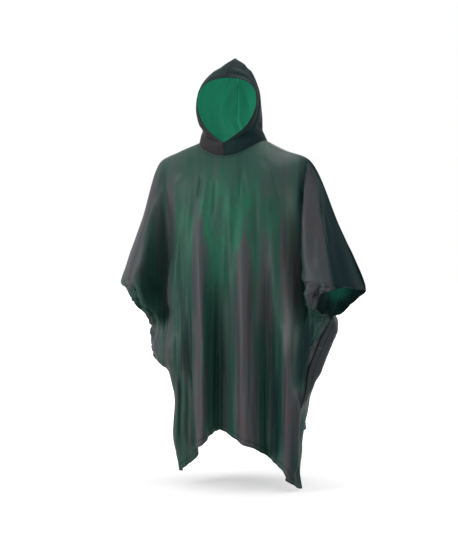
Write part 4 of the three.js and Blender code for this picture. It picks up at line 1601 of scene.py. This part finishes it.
@dataclass(frozen=True)
class CoatedCloth:
    """Satin coated rain cloth, outer face: green that turns to painted deep teal shade and to painted plum
    sheen in hanging bands and random streaks.
    """

    name: str
    green: Colour = (0.020, 0.072, 0.053, 1)
    # Colours for painted light and shade: a painted glow, painted sheen, painted shade and painted light.
    bright: Colour = (0.010, 0.135, 0.074, 1)
    plum_streak_and_sheen: Colour = (0.056, 0.058, 0.066, 1)
    reddish: Colour = (0.066, 0.053, 0.060, 1)
    teal: Colour = (0.012, 0.033, 0.040, 1)
    painted_shade_teal: Colour = (0.004, 0.018, 0.022, 1)
    deep: Colour = (0.008, 0.015, 0.017, 1)
    pale: Colour = (0.24, 0.27, 0.26, 1)
    hem_width: float = 0.020
    roughness: float = 0.50
    sheen: float = 0.42

    def build(self) -> bpy.types.Material:
        """Mixes the colours by painted light and shade, painted glow and painted shade, marks hems and seams,
        lays on painted light, and adds fine wrinkles.

        Returns:
            The material.
        """
        maker = Maker(self.name)
        place = maker.attribute("cloth_place", "Vector")
        tone, glow = maker.attribute("tone"), maker.attribute("glow")
        hem, seam, neck = maker.attribute("hem"), maker.attribute("seam"), maker.attribute("neck")
        streak = maker.noise(maker.stretched(place, (34, 1.8, 1)), 1.0, 4.0, 0.62)
        cloud = maker.noise(maker.stretched(place, (6, 3, 1)), 1.0, 2.0, 0.5)
        hair = maker.noise(maker.stretched(place, (125, 3.2, 1)), 1.0, 2.0, 0.6)
        hang = self.down(maker, place).smooth(0.10, 0.34)
        # Painted sheen and shade from the field, with random streaks, clouds and hairs: plum where high, teal
        # where low.
        mood = tone * 0.62 + (streak - 0.5) * 1.5 + (cloud - 0.5) * 0.8 + (hair - 0.5) * (hang * 1.3 + 0.6)
        tinge = maker.noise(maker.stretched(place, (24, 9, 1)), 1.0, 3.0, 0.6)
        plum_streak_and_sheen = maker.blend(tinge.smooth(0.48, 0.62), self.plum_streak_and_sheen, self.reddish)
        colour = maker.blend(mood.smooth(0.0, 0.75), self.green, plum_streak_and_sheen)
        colour = maker.blend((mood * -1.0).smooth(0.0, 0.85), colour, self.teal)
        patch = maker.noise(maker.stretched(place, (17, 6, 1)), 1.0, 3.0, 0.6)
        # Painted glow: brighter green on the chest and back.
        lit = (glow * (patch.smooth(0.34, 0.66) * 0.9 + 0.25)).smooth(0.0, 1.1)
        colour = maker.blend(lit * (1 - mood.smooth(0.35, 0.9)), colour, self.bright)
        # Painted shade: sides turned away from the light go to dark teal.
        shade = maker.attribute("shade")
        colour = maker.blend((shade * (streak * 0.5 + 0.8)).math("MINIMUM", 1.0), colour, self.painted_shade_teal)
        weld = hem.within(self.hem_width - 0.003, 0.0012, 0.0012)
        rim = 1 - hem.smooth(0.001, 0.006)
        joint = 1 - seam.smooth(0.001, 0.005)
        stitch = neck.within(0.006, 0.0012, 0.001)
        dark = (weld * 0.6 + rim * 0.75 + joint * 0.6 + stitch * 0.5).math("MINIMUM", 1.0)
        colour = maker.blend(dark, colour, self.deep)
        # Painted light: highlights on the shoulders and lighter deep valleys.
        colour = maker.blend(maker.attribute("pale"), colour, self.pale)
        height = self.fine_height(maker, place, hem, seam, neck)
        return maker.finish(
            Base_Color=colour,
            Roughness=(cloud - 0.5) * 0.16 + self.roughness,
            Normal=maker.bump(height),
            Specular_IOR_Level=0.08,
            Coat_Weight=(1 - shade) * (mood.smooth(-0.8, 0.5) * 0.7 + 0.3) * (1 - glow * 0.45) * self.sheen,
            Coat_Roughness=0.40,
        )

    def fine_height(self, maker: Maker, place: Any, hem: Value, seam: Value, neck: Value) -> Value:
        """Hanging hair-fine folds, small crumples, hem step and weld ribs.

        Args:
            maker: Builder of the material.
            place: Way across and down the cloth.
            hem: Distance to the free edges, in metres.
            seam: Distance to the seams.
            neck: Distance to the neck edge.

        Returns:
            Height in millimetres.
        """
        long_lines = maker.noise(maker.stretched(place, (52, 2.4, 1)), 1.0, 3.0, 0.6)
        hang = self.down(maker, place).smooth(0.20, 0.50)
        thread = maker.noise(maker.stretched(place, (32, 1.4, 1)), 1.0, 1.0, 0.5)
        valley = 1 - (thread - 0.5).math("ABSOLUTE").smooth(0.0, 0.035)
        crumple = maker.noise(maker.stretched(place, (42, 24, 1)), 1.0, 3.0, 0.55)
        grain = maker.noise(place, 900.0, 1.0, 0.5)
        rib = (self.down(maker, place) * 2800.0).math("SINE") * 0.05
        step = (1 - hem.smooth(self.hem_width - 0.0006, self.hem_width + 0.0006)) * 0.35
        line = hem.within(self.hem_width - 0.003, 0.0010, 0.0008) * -0.25
        ridge = seam.within(0.006, 0.004, 0.0012) * 0.4 + neck.within(0.006, 0.0012, 0.001) * -0.3
        calm = (hang * 0.8 + 0.2) * (1 - maker.attribute("sleeve") * 0.65)
        hairs = maker.noise(maker.stretched(place, (120, 3.0, 1)), 1.0, 2.0, 0.55)
        folds = (long_lines * 1.5 + hairs * 1.3 - valley * 0.8) * calm + crumple * 1.0
        return folds + grain * 0.015 + step + line + ridge + rib * seam.within(0.006, 0.003, 0.001)

    def down(self, maker: Maker, place: Any) -> Value:
        """Way down the cloth, in metres."""
        return Value(maker, maker.node("ShaderNodeSeparateXYZ", {}, {0: place}).outputs[1])


@dataclass(frozen=True)
class InsideCloth:
    """Inner face of the coated cloth: clear green, with a painted glow where light comes through."""

    name: str
    green: Colour = (0.024, 0.33, 0.19, 1)
    shade: Colour = (0.020, 0.20, 0.125, 1)
    deep: Colour = (0.006, 0.050, 0.034, 1)
    tape: Colour = (0.034, 0.50, 0.30, 1)
    roughness: float = 0.5
    # Strength of the painted glow of the inner face.
    through: float = 0.35

    def build(self) -> bpy.types.Material:
        """Mixes two greens, a shaded and a lit one, by painted light and soft clouds, darker at the hem's
        turned edge and paler at the seams.

        Returns:
            The material.
        """
        maker = Maker(self.name)
        place = maker.attribute("cloth_place", "Vector")
        hem = maker.attribute("hem")
        cloud = maker.noise(maker.stretched(place, (14, 5, 1)), 1.0, 3.0, 0.55)
        # Share of the lit green: painted light at the cuffs and over the hood, with soft clouds.
        share = (maker.attribute("inner") * 1.2 + (cloud - 0.5) * 1.6).smooth(0.0, 1.0)
        colour = maker.blend(share, self.shade, self.green)
        taped = 1 - maker.attribute("seam").smooth(0.0, 0.010)
        colour = maker.blend(taped * 0.45, colour, self.tape)
        turned = (1 - hem.smooth(0.0, 0.003)) * 0.5 + hem.within(0.017, 0.001, 0.001) * 0.5
        colour = maker.blend(turned.math("MINIMUM", 1.0), colour, self.deep)
        lines = maker.noise(maker.stretched(place, (50, 4, 1)), 1.0, 3.0, 0.6)
        height = lines * 1.2 + maker.noise(maker.stretched(place, (40, 26, 1)), 1.0, 3.0, 0.55) * 1.4
        # The inner face glows: a painted glow.
        return maker.finish(
            Base_Color=colour, Roughness=self.roughness, Normal=maker.bump(height), Specular_IOR_Level=0.3,
            Emission_Color=colour, Emission_Strength=self.through,
        )


@dataclass(frozen=True)
class SnapPlastic:
    """Dark moulded plastic of the snap buttons."""

    name: str = "snap_plastic"
    base: Colour = (0.012, 0.022, 0.018, 1)
    worn: Colour = (0.030, 0.042, 0.038, 1)

    def build(self) -> bpy.types.Material:
        """Dark plastic with faint scuffs.

        Returns:
            The material.
        """
        maker = Maker(self.name)
        coordinates = maker.node("ShaderNodeTexCoord", {}, {})
        scuff = maker.noise(coordinates.outputs["Object"], 700.0, 4.0, 0.6)
        colour = maker.blend(scuff.smooth(0.45, 0.75), self.base, self.worn)
        return maker.finish(
            Base_Color=colour, Roughness=scuff * 0.2 + 0.28, Normal=maker.bump(scuff * 0.04), Coat_Weight=0.2,
        )


@dataclass(frozen=True)
class Studio:
    """White sweep, soft lights and the camera at the photograph's angle."""

    floor_z: float = -1.084
    azimuth: float = 20.0
    distance: float = 4.0
    eye_z: float = -0.408
    aside: float = -0.0215
    lens: float = 81.0
    fill: float = 0.68
    key_power: float = 62.0
    side_power: float = 4.0
    top_power: float = 26.0

    def light(
        self, name: str, place: tuple[float, float, float], size: tuple[float, float], power: float,
    ) -> None:
        """Adds a soft box that looks at the middle of the poncho.

        Args:
            name: Light name.
            place: Where it stands, in metres.
            size: Width and height.
            power: Watts.
        """
        data = bpy.data.lights.new(name, "AREA")
        data.shape = "RECTANGLE"
        data.size, data.size_y = size
        data.energy = power
        lamp = bpy.data.objects.new(name, data)
        bpy.context.scene.collection.objects.link(lamp)
        aim = np.array([0.0, 0.0, -0.45]) - np.array(place)
        across = math.atan2(aim[1], aim[0]) - math.pi / 2
        tilt = math.acos(-aim[2] / np.linalg.norm(aim))
        lamp.location = place
        lamp.rotation_euler = (tilt, 0.0, across)

    def build(self) -> None:
        """Makes the floor, the world, the lights and the camera."""
        scene = bpy.context.scene
        scene.view_settings.view_transform = "Standard"
        scene.world = self.world()
        self.floor()
        self.light("left_box", (-2.5, -2.9, 0.7), (2.2, 2.8), self.key_power)
        self.light("right_box", (3.2, -0.6, 0.6), (0.8, 2.2), self.side_power)
        self.light("top_box", (0.3, 0.6, 2.6), (2.4, 2.0), self.top_power)
        self.camera()

    def world(self) -> bpy.types.World:
        """Soft even light, in front of a white ground.

        Returns:
            The world.
        """
        world = bpy.data.worlds.new("studio")
        world.use_nodes = True
        nodes, links = world.node_tree.nodes, world.node_tree.links
        even = nodes["Background"]
        even.inputs["Color"].default_value = (1.0, 1.0, 1.0, 1)
        even.inputs["Strength"].default_value = self.fill
        ground = nodes.new("ShaderNodeBackground")
        ground.inputs["Color"].default_value = (1.0, 1.0, 1.0, 1)
        path, join = nodes.new("ShaderNodeLightPath"), nodes.new("ShaderNodeMixShader")
        links.new(path.outputs["Is Camera Ray"], join.inputs[0])
        links.new(even.outputs[0], join.inputs[1])
        links.new(ground.outputs[0], join.inputs[2])
        links.new(join.outputs[0], nodes["World Output"].inputs["Surface"])
        return world

    def floor(self) -> None:
        """Pale floor: one large round sheet under the hem. It glows white, and its glow is painted weaker
        near the middle, which darkens the floor around the poncho's shadow.
        """
        turn = np.linspace(0, 2 * math.pi, 96, endpoint=False)
        ring = np.stack([60 * np.cos(turn), 60 * np.sin(turn), np.full(96, self.floor_z)], -1)
        mesh = bpy.data.meshes.new("floor")
        mesh.from_pydata(ring.tolist(), [], [list(range(96))])
        maker = Maker("pale_floor")
        place = maker.node("ShaderNodeTexCoord", {}, {}).outputs["Object"]
        length = maker.node("ShaderNodeVectorMath", {"operation": "LENGTH"}, {0: place})
        reach = Value(maker, length.outputs["Value"])
        # Painted darkening: the floor's glow is weaker near the middle.
        glow = maker.blend(reach.smooth(0.5, 2.6), (0.25, 0.245, 0.25, 1), (1.0, 1.0, 1.0, 1))
        mesh.materials.append(maker.finish(
            Base_Color=(0.9, 0.9, 0.9, 1), Roughness=0.9, Specular_IOR_Level=0.0,
            Emission_Color=glow, Emission_Strength=0.9,
        ))
        ground = bpy.data.objects.new("floor", mesh)
        bpy.context.scene.collection.objects.link(ground)
        ground.visible_diffuse = False
        ground.visible_glossy = False

    def camera(self) -> None:
        """Level camera with a narrow lens, a little to the right of straight ahead."""
        turn = math.radians(self.azimuth)
        lens = bpy.data.cameras.new("camera")
        lens.lens = self.lens
        camera = bpy.data.objects.new("camera", lens)
        bpy.context.scene.collection.objects.link(camera)
        x = self.distance * math.sin(turn) + self.aside * math.cos(turn)
        y = -self.distance * math.cos(turn) + self.aside * math.sin(turn)
        camera.location = (x, y, self.eye_z)
        camera.rotation_euler = (math.radians(90), 0.0, turn)
        bpy.context.scene.camera = camera


def main() -> None:
    """Builds the studio and the poncho, piece by piece."""
    logging.basicConfig(level=logging.INFO, format="%(name)s %(message)s")
    Studio().build()
    outside = CoatedCloth("cloth_outside").build()
    # Inner faces of the panels: a darker copy, with painted shade.
    inside = InsideCloth(
        "cloth_inside", green=(0.022, 0.21, 0.14, 1), shade=(0.014, 0.034, 0.035, 1),
        deep=(0.004, 0.016, 0.013, 1), tape=(0.020, 0.060, 0.050, 1), through=0.15,
    ).build()
    # Inner face of the hood: a brighter copy, with painted light.
    hood_inside = InsideCloth("hood_inside", through=0.30).build()
    # Outer face of the hood: a darker copy of the outer cloth, with painted shade and less coat.
    hood_outside = CoatedCloth(
        "hood_outside", green=(0.010, 0.030, 0.028, 1), plum_streak_and_sheen=(0.032, 0.029, 0.033, 1),
        reddish=(0.038, 0.028, 0.032, 1), hem_width=0.012, sheen=0.10,
    ).build()
    plastic = SnapPlastic().build()
    front = Panel(
        "front_panel_cloth", Facing.FRONT, FRONT_SECTIONS, FRONT_RIGHT_EDGE, FRONT_LEFT_EDGE, FRONT_FOLDS,
        FRONT_CREASES, CUFF_CREASES, FRONT_BANDS, FRONT_FACES, FRONT_SHADES, FRONT_PAINTED_LIGHT,
        # Painted glows on the chest and back, and painted light inside the cuffs.
        PaintedGlow(14, -230, 170, 130, 1.0),
        PaintedGlow(340, -470, 40, 20, 0.5), 11, (1.43, 1.0), 1.27,
    )
    back = Panel(
        "back_panel_cloth", Facing.BACK, BACK_SECTIONS, BACK_RIGHT_EDGE, BACK_LEFT_EDGE, BACK_FOLDS,
        BACK_CREASES, CUFF_CREASES, BACK_BANDS, BACK_FACES, BACK_SHADES, BACK_PAINTED_LIGHT,
        PaintedGlow(0, -230, 170, 130, 0.8),
        PaintedGlow(316, -462, 34, 18, 1.0), 47, (1.43, 1.0), 1.27,
    )
    for panel in (front, back):
        cloth = panel.surface()
        panel.build(cloth, outside, inside)
        for hand in Hand:
            side = panel.name.split("_")[0]
            SnapButton(f"snap_{side}_{hand.name.lower()}_cap", panel, hand).build(cloth, plastic)
    # The left hood half takes more painted plum sheen than the right.
    HoodHalf("hood_right_cloth", Hand.RIGHT, 83, 0.15).build(hood_outside, hood_inside)
    HoodHalf("hood_left_cloth", Hand.LEFT, 84, 0.55).build(hood_outside, hood_inside)


if __name__ == "__main__":
    main()
